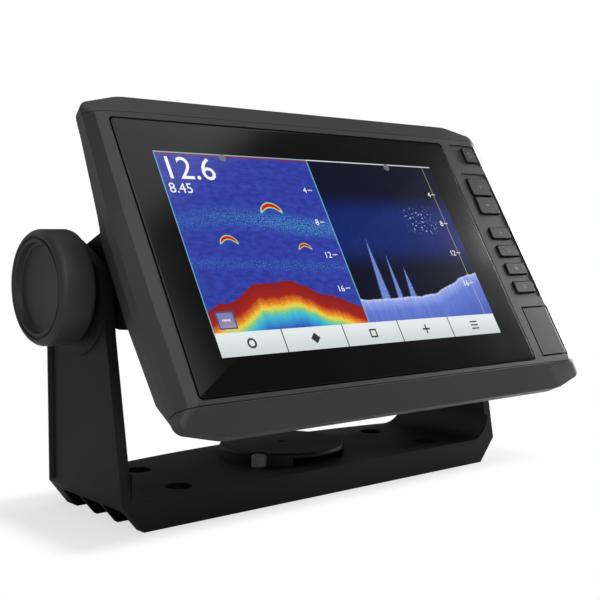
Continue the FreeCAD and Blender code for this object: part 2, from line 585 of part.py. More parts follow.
# ---- knobs: built on the right-hand side, then mirrored -------------------------------------------------
def knob_bolt():
    """Steel bolt moulded into the knob; its plain shank stands in for the thread."""
    head_start = KNOB_BACK + KNOB_LENGTH - KNOB_DISH_DEPTH - KNOB_RIDGE - BOLT_HEAD_HEIGHT
    shank = rod_x(BOLT_RADIUS, EAR_OUTSIDE - THREAD_REACH + BOLT_END_GAP, head_start, PIVOT_Y, PIVOT_Z)
    corners = [(PIVOT_Y + BOLT_HEAD_RADIUS * math.cos(math.radians(60 * step)),
                PIVOT_Z + BOLT_HEAD_RADIUS * math.sin(math.radians(60 * step))) for step in range(6)]
    return joined([shank, profile_x(corners, head_start, head_start + BOLT_HEAD_HEIGHT)])


def knob_grip():
    """Round knob with a bevelled rim and a dished end inside a raised ring."""
    face = KNOB_BACK + KNOB_LENGTH
    outline = [(KNOB_BACK, 0), (KNOB_BACK, KNOB_RADIUS - KNOB_EDGE / 2),
               (KNOB_BACK + KNOB_EDGE / 2, KNOB_RADIUS), (face - KNOB_EDGE, KNOB_RADIUS),
               (face - KNOB_EDGE / 3, KNOB_RADIUS - KNOB_EDGE / 2),
               (face, KNOB_RADIUS - KNOB_EDGE / 2 - KNOB_RIDGE / 3),
               (face, KNOB_DISH_RADIUS + KNOB_RIDGE / 3), (face - KNOB_RIDGE / 2, KNOB_DISH_RADIUS),
               (face - KNOB_RIDGE / 2, 0)]
    corners = [Vector(x, PIVOT_Y, PIVOT_Z + r) for x, r in outline]
    half = Part.Face(Part.makePolygon(corners + corners[:1]))
    solid = half.revolve(Vector(0, PIVOT_Y, PIVOT_Z), Vector(1, 0, 0), 360)
    sag = KNOB_DISH_DEPTH - KNOB_RIDGE / 2
    bowl_radius = (KNOB_DISH_RADIUS ** 2 + sag ** 2) / (2 * sag)
    bowl = Part.makeSphere(bowl_radius, Vector(face - KNOB_DISH_DEPTH + bowl_radius, PIVOT_Y, PIVOT_Z))
    return solid.cut(bowl).cut(knob_bolt())


def knob_washer():
    disc = rod_x(KNOB_WASHER_RADIUS, PAD_FACE + SLIP, KNOB_BACK, PIVOT_Y, PIVOT_Z)
    return disc.cut(rod_x(BOLT_RADIUS + RUNNING, PAD_FACE, KNOB_BACK + 1, PIVOT_Y, PIVOT_Z))


# ---- front of the case --------------------------------------------------------------------------------
def case_front(inset):
    """Outer form of the case front, drawn in by an even amount."""
    rim = case_ring(inset, RIM_HALF_WIDTH - inset, RIM_HALF_HEIGHT - inset, inset - RIM_HALF_HEIGHT,
                    CORNER_DROP / 6, SIDE_BOW / 6, CORNER_RADIUS / 2)
    share = FACET_DEPTH / CASE_EDGE_DEPTH
    facet_height = RIM_HALF_HEIGHT + share * (CASE_HALF_HEIGHT - RIM_HALF_HEIGHT) - inset
    facet = case_ring(FACET_DEPTH + inset, FACET_HALF_WIDTH - inset, facet_height, -facet_height,
                      CORNER_DROP / 2, SIDE_BOW / 2, CORNER_RADIUS * 0.8)
    wide = CASE_HALF_WIDTH - inset
    high = CASE_HALF_HEIGHT - inset
    edge = case_ring(CASE_EDGE_DEPTH + inset, wide, high, -high, CORNER_DROP, SIDE_BOW, CORNER_RADIUS)
    back = case_ring(BEZEL_DEPTH, wide - DRAFT, high - DRAFT, DRAFT - high, CORNER_DROP, SIDE_BOW,
                     CORNER_RADIUS)
    return loft([rim, facet, edge, back])


def outside_of_seams(gap):
    """Everything above the upper seam and below the lower seam."""
    wide = 2 * CASE_HALF_WIDTH
    return (block(-wide, wide, -1, BEZEL_DEPTH + 1, SEAM_TOP + gap, wide),
            block(-wide, wide, -1, BEZEL_DEPTH + 1, -wide, SEAM_BOTTOM - gap))


def front_bezel():
    """Frame around glass, keys and card door, with the ledges that carry the trim caps."""
    body = case_front(0)
    for region in outside_of_seams(0):
        body = body.cut(region)
    core = case_front(CAP_SKIN + CAP_GAP)
    cavity = loft([case_ring(FACE_WALL, CASE_HALF_WIDTH - SIDE_WALL - CAVITY_SIDE_STEP,
                             CASE_HALF_HEIGHT - CAVITY_END_STEP, CAVITY_END_STEP - CASE_HALF_HEIGHT,
                             CORNER_DROP, SIDE_BOW, CORNER_RADIUS),
                   case_ring(BEZEL_DEPTH + 1, CASE_HALF_WIDTH - SIDE_WALL - DRAFT,
                             CASE_HALF_HEIGHT - SIDE_WALL - DRAFT - CAP_SKIN,
                             SIDE_WALL + DRAFT + CAP_SKIN - CASE_HALF_HEIGHT,
                             CORNER_DROP, SIDE_BOW, CORNER_RADIUS)])
    body = joined([body, core]).cut(cavity)
    posts = [rod_y(CASE_BOSS_RADIUS, FACE_WALL - 1, BEZEL_DEPTH, x, z).common(core) for x, z in CASE_SCREWS]
    posts += [rod_y(CASE_BOSS_RADIUS, BEZEL_DEPTH - 1, REAR_FRONT, x, z) for x, z in CASE_SCREWS]
    posts += [rod_y(SMALL_SCREW_HEAD + SLIP, FACE_WALL - 1, CHASSIS_FRONT, x, z) for x, z in CHASSIS_SCREWS]
    posts += [rod_y(SMALL_SCREW_HEAD, FACE_WALL - 1, KEY_BOARD_FRONT, x, z) for x, z in KEY_SCREWS]
    body = joined([body] + posts)
    body = body.cut(slab(GLASS_LEFT - FIT, GLASS_RIGHT + FIT, -1, GLASS_SEAT,
                         -GLASS_HALF_HEIGHT - FIT, GLASS_HALF_HEIGHT + FIT, GLASS_CORNER + FIT))
    body = body.cut(block(DISPLAY_LEFT - FIT, DISPLAY_RIGHT + FIT, 0, BEZEL_DEPTH,
                          -DISPLAY_HEIGHT / 2 - FIT, DISPLAY_HEIGHT / 2 + FIT))
    body = body.cut(slab(KEYPAD_LEFT, KEYPAD_RIGHT, -1, KEYPAD_SINK, KEYPAD_BOTTOM, KEYPAD_TOP, KEY_CORNER))
    body = body.cut(slab(KEYPAD_LEFT, KEYPAD_RIGHT, -1, KEYPAD_SINK, POWER_FRAME_BOTTOM, POWER_FRAME_TOP,
                         POWER_FRAME_CORNER))
    for left, right, low, high in KEYS.values():
        body = body.cut(slab(left - KEY_GAP, right + KEY_GAP, -1, FACE_WALL + 1, low - KEY_GAP,
                             high + KEY_GAP, KEY_CORNER + KEY_GAP))
    body = body.cut(block(DOOR_LEFT - SLIP, DOOR_RIGHT + SLIP, -1, DOOR_THICKNESS + SLIP,
                          DOOR_BOTTOM - SLIP, DOOR_TOP + SLIP))
    body = body.cut(rod_z(DOOR_PIN_RADIUS, DOOR_BOTTOM - 2 * SLIP - 1, DOOR_TOP + 2 * SLIP + 1,
                          DOOR_AXIS_X, DOOR_AXIS_Y))
    body = body.cut(block(DOOR_MIDDLE_X - CARD_WIDTH / 2 - FIT, DOOR_MIDDLE_X + CARD_WIDTH / 2 + FIT, 0,
                          FACE_WALL + 1, CARD_Z - CARD_SLOT, CARD_Z + CARD_SLOT))
    for x, z in CASE_SCREWS:
        body = body.cut(rod_y(CASE_SCREW_RADIUS, REAR_FRONT - CASE_SCREW_LENGTH + SEAT_WALL - FIT,
                              REAR_FRONT + 1, x, z))
    for x, z in CHASSIS_SCREWS:
        body = body.cut(rod_y(SMALL_SCREW_RADIUS, FACE_WALL, CHASSIS_FRONT + 1, x, z))
    for x, z in KEY_SCREWS:
        body = body.cut(rod_y(SMALL_SCREW_RADIUS, FACE_WALL, KEY_BOARD_FRONT + 1, x, z))
    return body


def trim_cap(side):
    """Snap-on cap over the upper (1) or lower (-1) edge of the bezel."""
    region = outside_of_seams(SEAM_GAP)[0 if side > 0 else 1]
    return case_front(0).common(region).cut(case_front(CAP_SKIN))


def screen_glass():
    return slab(GLASS_LEFT, GLASS_RIGHT, 0, GLASS_THICKNESS, -GLASS_HALF_HEIGHT, GLASS_HALF_HEIGHT,
                GLASS_CORNER)


def glass_gasket():
    """Flat adhesive frame between the glass and the ledge of the bezel."""
    outer = slab(GLASS_LEFT, GLASS_RIGHT, GLASS_THICKNESS, GLASS_SEAT, -GLASS_HALF_HEIGHT,
                 GLASS_HALF_HEIGHT, GLASS_CORNER)
    return outer.cut(block(DISPLAY_LEFT - FIT, DISPLAY_RIGHT + FIT, 0, GLASS_SEAT + 1,
                           -DISPLAY_HEIGHT / 2 - FIT, DISPLAY_HEIGHT / 2 + FIT))


def display_layer(front, thickness):
    return block(DISPLAY_LEFT, DISPLAY_RIGHT, front, front + thickness, -DISPLAY_HEIGHT / 2,
                 DISPLAY_HEIGHT / 2)


def display_chassis():
    """Steel plate behind the backlight, with a window and four lugs."""
    edge = CHASSIS_MARGIN
    plate = slab(DISPLAY_LEFT - edge, DISPLAY_RIGHT + edge, CHASSIS_FRONT, CHASSIS_BACK,
                 -DISPLAY_HEIGHT / 2 - edge, DISPLAY_HEIGHT / 2 + edge, edge / 2)
    half_wide = WINDOW_WIDTH_SHARE * DISPLAY_WIDTH / 2
    half_high = WINDOW_HEIGHT_SHARE * DISPLAY_HEIGHT / 2
    plate = plate.cut(slab(DISPLAY_X - half_wide, DISPLAY_X + half_wide, CHASSIS_FRONT - 1,
                           CHASSIS_BACK + 1, -half_high, half_high, half_high / 2))
    for x, z in CHASSIS_SCREWS:
        plate = plate.cut(rod_y(SMALL_SCREW_RADIUS + RUNNING, CHASSIS_FRONT - 1, CHASSIS_BACK + 1, x, z))
    return plate


def small_screws(spots, start, seat):
    """Screws with round heads: shank from start to seat, head behind it."""
    return group(joined([rod_y(SMALL_SCREW_RADIUS, start, seat, x, z),
                         rod_y(SMALL_SCREW_HEAD, seat, seat + SMALL_SCREW_HEAD_HEIGHT, x, z)])
                 for x, z in spots)


# ---- keys and card door -------------------------------------------------------------------------------
def key_cap(left, right, low, high):
    """Key that slides through the bezel, kept in by a lip behind it."""
    cap = slab(left, right, -KEY_PROUD, FLANGE_BACK, low, high, KEY_CORNER)
    top = [edge for edge in cap.Edges if abs(edge.BoundBox.YMax + KEY_PROUD) < 1e-6]
    cap = cap.makeFillet(KEY_PROUD * 0.6, top)
    flange = slab(left - KEY_FLANGE, right + KEY_FLANGE, FLANGE_BACK - KEY_FLANGE_THICKNESS, FLANGE_BACK,
                  low, high, KEY_CORNER)
    return joined([cap, flange])


def key_centres():
    return [((left + right) / 2, (low + high) / 2) for left, right, low, high in KEYS.values()]


def keypad_sheet(front, back):
    """Sheet as large as the field of keys."""
    low = min(key[2] for key in KEYS.values())
    high = max(key[3] for key in KEYS.values())
    return slab(KEY_LEFT - KEY_FLANGE, KEY_RIGHT + KEY_FLANGE, front, back, low, high, KEY_CORNER)


def keypad_membrane():
    """Rubber sheet with a dome behind each key."""
    sheet = keypad_sheet(MEMBRANE_FRONT, SWITCH_FRONT)
    domes = [rod_y(DOME_RADIUS, MEMBRANE_FRONT - DOME_HEIGHT, MEMBRANE_FRONT, x, z)
             for x, z in key_centres()]
    sheet = joined([sheet] + domes)
    for x, z in KEY_SCREWS:
        sheet = sheet.cut(rod_y(SMALL_SCREW_HEAD + FIT, MEMBRANE_FRONT - 1, SWITCH_FRONT + 1, x, z))
    return sheet


def key_switches():
    return group(rod_y(DOME_RADIUS, SWITCH_FRONT, KEY_BOARD_FRONT, x, z) for x, z in key_centres())


def keypad_board():
    board = keypad_sheet(KEY_BOARD_FRONT, KEY_BOARD_FRONT + BOARD_THICKNESS)
    for x, z in KEY_SCREWS:
        board = board.cut(rod_y(SMALL_SCREW_RADIUS + RUNNING, KEY_BOARD_FRONT - 1,
                                KEY_BOARD_FRONT + BOARD_THICKNESS + 1, x, z))
    return board


def card_door():
    """Door over the card slot; its right edge is rounded about the hinge pin."""
    plate = block(DOOR_LEFT, DOOR_AXIS_X, 0, DOOR_THICKNESS, DOOR_BOTTOM, DOOR_TOP)
    door = joined([plate, rod_z(DOOR_THICKNESS / 2, DOOR_BOTTOM, DOOR_TOP, DOOR_AXIS_X, DOOR_AXIS_Y)])
    return door.cut(rod_z(DOOR_PIN_RADIUS + RUNNING, DOOR_BOTTOM - 1, DOOR_TOP + 1,
                          DOOR_AXIS_X, DOOR_AXIS_Y))


def card_door_pin():
    return rod_z(DOOR_PIN_RADIUS, DOOR_BOTTOM - 2 * SLIP - 1, DOOR_TOP + 2 * SLIP + 1,
                 DOOR_AXIS_X, DOOR_AXIS_Y)


def card_reader():
    """Socket for a memory card behind the slot in the bezel."""
    half = CARD_WIDTH / 2 + 1
    body = block(DOOR_MIDDLE_X - half, DOOR_MIDDLE_X + half, FACE_WALL, FACE_WALL + READER_LENGTH,
                 CARD_Z - READER_HEIGHT / 2, CARD_Z + READER_HEIGHT / 2)
    return body.cut(block(DOOR_MIDDLE_X - CARD_WIDTH / 2, DOOR_MIDDLE_X + CARD_WIDTH / 2, 0,
                          FACE_WALL + READER_LENGTH - 1, CARD_Z - CARD_SLOT / 2, CARD_Z + CARD_SLOT / 2))


# ---- rear of the case ---------------------------------------------------------------------------------
def housing_seal():
    """Flat rubber ring between bezel and rear cover."""
    rings = []
    for inset in (SEAL_INSET, SEAL_INSET + SEAL_WIDTH):
        wide = CASE_HALF_WIDTH - DRAFT - inset
        high = CASE_HALF_HEIGHT - DRAFT - inset
        outline = case_ring(BEZEL_DEPTH, wide, high, -high, CORNER_DROP, SIDE_BOW, CORNER_RADIUS)
        rings.append(Part.Face(outline).extrude(Vector(0, SEAL_HEIGHT, 0)))
    seal = rings[0].cut(rings[1])
    for x, z in CASE_SCREWS:
        seal = seal.cut(rod_y(CASE_BOSS_RADIUS + FIT, BEZEL_DEPTH - 1, REAR_FRONT + 1, x, z))
    return seal


def rear_shell(wall):
    """Outer form of the rear cover, drawn in by its wall."""
    foot_wide = CASE_HALF_WIDTH - REAR_INSET - wall
    foot_high = CASE_HALF_HEIGHT - REAR_INSET - wall
    drop = CORNER_DROP
    start = REAR_FRONT - (1 if wall else 0)
    sides = loft([
        case_ring(start, foot_wide, foot_high, -foot_high, drop, SIDE_BOW, CORNER_RADIUS),
        case_ring(REAR_EDGE_DEPTH - wall, REAR_EDGE_HALF_WIDTH - wall, REAR_EDGE_TOP - wall,
                  REAR_EDGE_BOTTOM + wall, drop, SIDE_BOW, CORNER_RADIUS),
        case_ring(REAR_FLAT_DEPTH - wall, REAR_FLAT_HALF_WIDTH - wall, REAR_FLAT_TOP - wall,
                  REAR_FLAT_BOTTOM + wall, drop / 2, SIDE_BOW, CORNER_RADIUS / 2)])
    hump = loft([
        case_ring(HUMP_FOOT_DEPTH - wall, HUMP_FOOT_HALF_WIDTH - wall, HUMP_FOOT_TOP - wall,
                  HUMP_FOOT_BOTTOM + wall, drop, SIDE_BOW, CORNER_RADIUS),
        case_ring(HUMP_DEPTH - wall, HUMP_HALF_WIDTH - wall, HUMP_TOP - wall, HUMP_BOTTOM + wall,
                  drop, SIDE_BOW, CORNER_RADIUS)])
    return joined([sides, hump])


def latch_pocket(grow):
    """Space in the top of the hump that the latch hook drops into."""
    back = LATCH_DEPTH - HOOK_BACK + POCKET_GAP + grow
    front = LATCH_DEPTH - HOOK_BACK - HOOK_LENGTH - POCKET_GAP - grow
    low = LATCH_RISE - LATCH_ARM / 2 - HOOK_DROP - POCKET_GAP / 2 - grow
    half = HOOK_HALF_WIDTH + POCKET_GAP + grow
    return block(-half, half, front, back, low, LATCH_RISE + (0 if grow else LATCH_RISE))


def rear_cover():
    """Rear shell of the case, with screw seats, the latch pocket and the contact window."""
    outer = rear_shell(0)
    pads = []
    for x, z in CASE_SCREWS:
        pads.append(rod_y(CASE_BOSS_RADIUS + SCREW_PAD_WALL, REAR_FRONT,
                          REAR_FRONT + SEAT_WALL + SCREW_PAD_HEIGHT, x, z))
    outer = joined([outer] + pads)
    shell = outer.cut(rear_shell(REAR_WALL))
    inner = [rod_y(CASE_BOSS_RADIUS + SCREW_PAD_WALL, REAR_FRONT, HUMP_DEPTH, x, z) for x, z in CASE_SCREWS]
    inner.append(latch_pocket(REAR_WALL))
    shell = joined([shell] + [piece.common(outer) for piece in inner])
    for x, z in CASE_SCREWS:
        shell = shell.cut(rod_y(CASE_SCREW_HEAD + SLIP, REAR_FRONT + SEAT_WALL, HUMP_DEPTH + 1, x, z))
        shell = shell.cut(rod_y(CASE_SCREW_RADIUS + FIT, REAR_FRONT - 1, REAR_FRONT + SEAT_WALL + 1, x, z))
    shell = shell.cut(latch_pocket(0))
    return shell.cut(slab(-CONTACT_WIDTH / 2, CONTACT_WIDTH / 2, HUMP_DEPTH - 2 * REAR_WALL, HUMP_DEPTH + 1,
                          CONTACT_Z - CONTACT_HEIGHT / 2, CONTACT_Z + CONTACT_HEIGHT / 2, CONTACT_CORNER))


def housing_screws():
    seat = REAR_FRONT + SEAT_WALL
    start = REAR_FRONT - CASE_SCREW_LENGTH + SEAT_WALL
    return group(joined([rod_y(CASE_SCREW_RADIUS, start, seat, x, z),
                         rod_y(CASE_SCREW_HEAD, seat, seat + CASE_SCREW_HEAD_HEIGHT, x, z)]).cut(
                             rod_y(CASE_SCREW_RADIUS * 0.7, seat + CASE_SCREW_HEAD_HEIGHT / 2,
                                   seat + CASE_SCREW_HEAD_HEIGHT + 1, x, z)) for x, z in CASE_SCREWS)


# ---- boards inside ------------------------------------------------------------------------------------
def main_board():
    half_wide = MAIN_BOARD_WIDTH / 2
    half_high = MAIN_BOARD_HEIGHT / 2
    board = slab(DISPLAY_X - half_wide, DISPLAY_X + half_wide, MAIN_BOARD_DEPTH, MAIN_BOARD_BACK,
                 -half_high, half_high, STANDOFF_RADIUS)
    for x, z in BOARD_SCREWS:
        board = board.cut(rod_y(SMALL_SCREW_RADIUS + RUNNING, MAIN_BOARD_DEPTH - 1, MAIN_BOARD_BACK + 1,
                                x, z))
    return board


def board_standoffs():
    """Threaded brass posts between the chassis and the main board."""
    return group(rod_y(STANDOFF_RADIUS, CHASSIS_BACK, MAIN_BOARD_DEPTH, x, z).cut(
        rod_y(SMALL_SCREW_RADIUS, CHASSIS_BACK - 1, MAIN_BOARD_DEPTH + 1, x, z)) for x, z in BOARD_SCREWS)


def processor_shield():
    """Folded metal can over the processor, open towards the board."""
    half = SHIELD_SIZE / 2
    can = slab(-half, half, MAIN_BOARD_BACK, SHIELD_BACK, -half, half, SHIELD_CORNER)
    inside = half - SHIELD_SKIN
    return can.cut(block(-inside, inside, MAIN_BOARD_BACK - 1, SHIELD_BACK - SHIELD_SKIN, -inside, inside))


def heat_spreader():
    """Aluminium plate on top of the processor can, with two stiffening ribs."""
    half_wide = SPREADER_WIDTH / 2
    half_high = SPREADER_HEIGHT / 2
    plate = slab(-half_wide, half_wide, SHIELD_BACK, SHIELD_BACK + SPREADER_THICKNESS, -half_high / 2,
                 half_high, SPREADER_CORNER)
    rib = SPREADER_THICKNESS / 2
    ribs = [block(x - rib, x + rib, SHIELD_BACK, SHIELD_BACK + 2 * SPREADER_THICKNESS,
                  SPREADER_CORNER - half_high / 2, half_high - SPREADER_CORNER)
            for x in (-half_wide / 2, half_wide / 2)]
    return joined([plate] + ribs)


def position_antenna():
    """Ceramic patch antenna at the top of the main board."""
    x = DISPLAY_X - MAIN_BOARD_WIDTH / 2 + ANTENNA_SIZE / 2 + 2 * STANDOFF_INSET
    z = MAIN_BOARD_HEIGHT / 2 - ANTENNA_SIZE / 2 - 1
    half = ANTENNA_SIZE / 2
    return slab(x - half, x + half, MAIN_BOARD_BACK, MAIN_BOARD_BACK + ANTENNA_HEIGHT, z - half, z + half,
                1.0)


def buzzer():
    x = DISPLAY_X + MAIN_BOARD_WIDTH / 2 - 2 * STANDOFF_INSET
    can = rod_y(BUZZER_RADIUS, MAIN_BOARD_BACK, MAIN_BOARD_BACK + BUZZER_HEIGHT, x, 0)
    return can.cut(rod_y(BUZZER_HOLE_RADIUS, MAIN_BOARD_BACK + BUZZER_HEIGHT - 1,
                         MAIN_BOARD_BACK + BUZZER_HEIGHT + 1, x, 0))


def link_connector():
    """Stacking connector from the main board to the contact block."""
    return block(-CONTACT_WIDTH / 3, CONTACT_WIDTH / 3, MAIN_BOARD_BACK, HUMP_DEPTH - 2 * REAR_WALL,
                 CONTACT_Z - CONTACT_HEIGHT / 4, CONTACT_Z + CONTACT_HEIGHT / 4)


# ---- docking contacts ---------------------------------------------------------------------------------
def contact_block(front, back, wide):
    """Plastic block with a row of holes for the contacts."""
    half = CONTACT_HEIGHT / 2 - FIT
    body = slab(-wide / 2 + FIT, wide / 2 - FIT, front, back, CONTACT_Z - half, CONTACT_Z + half,
                CONTACT_CORNER - FIT)
    for x in contact_spots():
        body = body.cut(rod_y(CONTACT_PIN_RADIUS, front - 1, back + 1, x, CONTACT_Z))
    return body


def contact_spots():
    return [(step - (CONTACT_COUNT - 1) / 2) * CONTACT_PITCH for step in range(CONTACT_COUNT)]


def head_contact_block():
    return contact_block(HUMP_DEPTH - 2 * REAR_WALL, HUMP_DEPTH, CONTACT_WIDTH)


def cradle_contact_block():
    return contact_block(CRADLE_FRONT, CRADLE_BACK, CONTACT_WIDTH)


def contact_pins():
    """Gilt pins that bridge the gap between the two contact blocks."""
    return group(rod_y(CONTACT_PIN_RADIUS, HUMP_DEPTH - REAR_WALL, CRADLE_BACK, x, CONTACT_Z)
                 for x in contact_spots())


# ---- cradle -------------------------------------------------------------------------------------------
SOCKETS = {"power_socket": (POWER_SOCKET_X, POWER_SOCKET_RADIUS),
           "sonar_socket": (SONAR_SOCKET_X, SONAR_SOCKET_RADIUS)}
SOCKET_CONTACT_COUNTS = {"power_socket": POWER_CONTACT_COUNT, "sonar_socket": SONAR_CONTACT_COUNT}


def ear():
    """Right-hand ear: a web that reaches forward beside the case, rounded about the tilt axis."""
    front = PIVOT_DEPTH - EAR_FRONT_REACH
    outline = [(front, PIVOT_RISE - EAR_FRONT_BELOW), (front, PIVOT_RISE + EAR_FRONT_ABOVE),
               (PIVOT_DEPTH, PIVOT_RISE + EAR_RADIUS), (PIVOT_DEPTH, PIVOT_RISE - EAR_RADIUS),
               (PIVOT_DEPTH - EAR_WAIST_REACH, PIVOT_RISE - EAR_WAIST_BELOW)]
    web = profile_x(outline, EAR_INSIDE, EAR_OUTSIDE)
    return joined([web, rod_x(EAR_RADIUS, EAR_INSIDE, EAR_OUTSIDE, PIVOT_DEPTH, PIVOT_RISE)])


def cradle_body():
    """Plate behind the case with a cross beam, two ears, a lower shelf and lugs for the latch."""
    plate = slab(-CRADLE_HALF_WIDTH, CRADLE_HALF_WIDTH, CRADLE_FRONT, CRADLE_BACK, CRADLE_BOTTOM, CRADLE_TOP,
                 CRADLE_CORNER)
    rim = slab(-CRADLE_HALF_WIDTH, CRADLE_HALF_WIDTH, CRADLE_BACK, CRADLE_BACK + CRADLE_RIB, CRADLE_BOTTOM,
               CRADLE_TOP, CRADLE_CORNER)
    rim = rim.cut(slab(CRADLE_RIB - CRADLE_HALF_WIDTH, CRADLE_HALF_WIDTH - CRADLE_RIB, CRADLE_BACK - 1,
                       BEAM_BACK, CRADLE_BOTTOM + CRADLE_RIB, CRADLE_TOP - CRADLE_RIB,
                       CRADLE_CORNER - CRADLE_RIB))
    beam = block(-EAR_OUTSIDE, EAR_OUTSIDE, CRADLE_FRONT, CRADLE_BACK, BEAM_BOTTOM, BEAM_TOP)
    walls = [block(-EAR_OUTSIDE, EAR_OUTSIDE, CRADLE_BACK - 1, BEAM_BACK, z, z + CRADLE_RIB)
             for z in (BEAM_BOTTOM, BEAM_TOP - CRADLE_RIB)]
    step = 2 * EAR_INSIDE / BEAM_CELL_COUNT
    walls += [block(-EAR_INSIDE + index * step - CRADLE_RIB / 2, -EAR_INSIDE + index * step + CRADLE_RIB / 2,
                    CRADLE_BACK - 1, BEAM_BACK, BEAM_BOTTOM, BEAM_TOP)
              for index in range(1, BEAM_CELL_COUNT)]
    shelf = block(-SHELF_HALF_WIDTH, SHELF_HALF_WIDTH, CRADLE_FRONT - SHELF_REACH, CRADLE_BACK,
                  CRADLE_BOTTOM - SHELF_REACH / 2 - SHELF_THICKNESS, CRADLE_BOTTOM - SHELF_REACH / 2)
    drop = block(-SHELF_HALF_WIDTH, SHELF_HALF_WIDTH, CRADLE_FRONT, CRADLE_BACK,
                 CRADLE_BOTTOM - SHELF_REACH / 2 - SHELF_THICKNESS, CRADLE_BOTTOM + CRADLE_CORNER)
    lugs = [block(side * (LATCH_HALF_WIDTH + SLIP + LUG_WALL / 2) - LUG_WALL / 2,
                  side * (LATCH_HALF_WIDTH + SLIP + LUG_WALL / 2) + LUG_WALL / 2, CRADLE_FRONT,
                  LATCH_DEPTH + LATCH_BARREL, CRADLE_TOP - CRADLE_CORNER, LATCH_RISE + LATCH_BARREL)
            for side in (-1, 1)]
    collars = [rod_y(radius + SOCKET_WALL + SOCKET_COLLAR, CRADLE_BACK - 1, CRADLE_BACK + CRADLE_RIB, x,
                     CONTACT_Z) for x, radius in SOCKETS.values()]
    body = joined([plate, rim, beam, shelf, drop, ear(), mirrored(ear())] + walls + lugs + collars)
    body = body.cut(slab(-CONTACT_WIDTH / 2, CONTACT_WIDTH / 2, CRADLE_FRONT - 1, CRADLE_BACK,
                         CONTACT_Z - CONTACT_HEIGHT / 2, CONTACT_Z + CONTACT_HEIGHT / 2, CONTACT_CORNER))
    for x, radius in SOCKETS.values():
        body = body.cut(rod_y(radius + SOCKET_WALL, CRADLE_BACK, BEAM_BACK + 1, x, CONTACT_Z))
    for side in (-1, 1):
        body = body.cut(rod_x(INSERT_RADIUS, side * (EAR_OUTSIDE - THREAD_REACH), side * (EAR_OUTSIDE + 1),
                              PIVOT_DEPTH, PIVOT_RISE))
    reach = LATCH_HALF_WIDTH + SLIP + LUG_WALL
    return body.cut(rod_x(LATCH_PIN_RADIUS, -reach - 1, reach + 1, LATCH_DEPTH, LATCH_RISE))


def ear_inserts():
    """Threaded brass bushes in the ears."""
    bush = rod_x(INSERT_RADIUS, EAR_OUTSIDE - THREAD_REACH, EAR_OUTSIDE, PIVOT_DEPTH, PIVOT_RISE)
    bush = bush.cut(rod_x(BOLT_RADIUS + RUNNING, EAR_INSIDE - 1, EAR_OUTSIDE + 1, PIVOT_DEPTH, PIVOT_RISE))
    return group([bush, mirrored(bush)])


def ear_washers():
    """Friction washers between the ears and the arms."""
    disc = rod_x(EAR_WASHER_RADIUS, EAR_OUTSIDE, ARM_INSIDE - SLIP, PIVOT_DEPTH, PIVOT_RISE)
    disc = disc.cut(rod_x(BOLT_RADIUS + RUNNING, EAR_OUTSIDE - 1, ARM_INSIDE, PIVOT_DEPTH, PIVOT_RISE))
    return group([disc, mirrored(disc)])


def cable_socket(x, radius, contacts):
    """Round plug socket with a keyed collar; the contacts lie at the bottom of its bore."""
    start = CRADLE_BACK
    end = start + SOCKET_LENGTH
    body = rod_y(radius + SOCKET_WALL, start, end, x, CONTACT_Z)
    body = body.cut(rod_y(radius, end - SOCKET_BORE, end + 1, x, CONTACT_Z))
    for index in range(contacts):
        turn = 2 * math.pi * index / contacts
        body = body.cut(rod_y(CONTACT_PIN_RADIUS, start + 1, end, x + radius * 0.6 * math.cos(turn),
                              CONTACT_Z + radius * 0.6 * math.sin(turn)))
    return body


def release_latch():
    """Hook, barrel and thumb tab in one piece, turning on the latch pin."""
    half = LATCH_HALF_WIDTH
    back = LATCH_DEPTH - HOOK_BACK
    low = LATCH_RISE - LATCH_ARM / 2
    pieces = [rod_x(LATCH_BARREL, -half, half, LATCH_DEPTH, LATCH_RISE),
              block(-HOOK_HALF_WIDTH, HOOK_HALF_WIDTH, back - HOOK_LENGTH, LATCH_DEPTH, low,
                    low + LATCH_ARM),
              block(-HOOK_HALF_WIDTH, HOOK_HALF_WIDTH, back - HOOK_LENGTH, back, low - HOOK_DROP, low),
              block(-half, half, LATCH_DEPTH, LATCH_DEPTH + LATCH_TAB, low, low + LATCH_ARM)]
    pieces += [block(-HOOK_HALF_WIDTH, HOOK_HALF_WIDTH, LATCH_DEPTH + LATCH_TAB * share,
                     LATCH_DEPTH + LATCH_TAB * share + LATCH_RIDGE, low, low + LATCH_ARM + LATCH_RIDGE)
               for share in LATCH_RIDGE_SHARES]
    body = joined(pieces)
    gap = SPRING_TURNS * SPRING_PITCH + 4 * SPRING_WIRE
    body = body.cut(rod_x(LATCH_BARREL + 0.5, -gap / 2, gap / 2, LATCH_DEPTH, LATCH_RISE))
    return body.cut(rod_x(LATCH_PIN_RADIUS + RUNNING, -half - 1, half + 1, LATCH_DEPTH, LATCH_RISE))


def latch_pin():
    reach = LATCH_HALF_WIDTH + SLIP + LUG_WALL
    return rod_x(LATCH_PIN_RADIUS, -reach, reach, LATCH_DEPTH, LATCH_RISE)


def latch_spring():
    """Torsion spring wound round the latch pin."""
    radius = LATCH_PIN_RADIUS + 2 * SPRING_WIRE
    helix = Part.makeHelix(SPRING_PITCH, SPRING_PITCH * SPRING_TURNS, radius)
    section = Part.Wire(Part.makeCircle(SPRING_WIRE, Vector(radius, 0, 0), Vector(0, 1, 0)))
    coil = Part.Wire(helix.Edges).makePipeShell([section], True, True)
    coil.Placement = Placement(Vector(-SPRING_PITCH * SPRING_TURNS / 2, LATCH_DEPTH, LATCH_RISE),
                               Rotation(Vector(0, 1, 0), 90))
    return coil


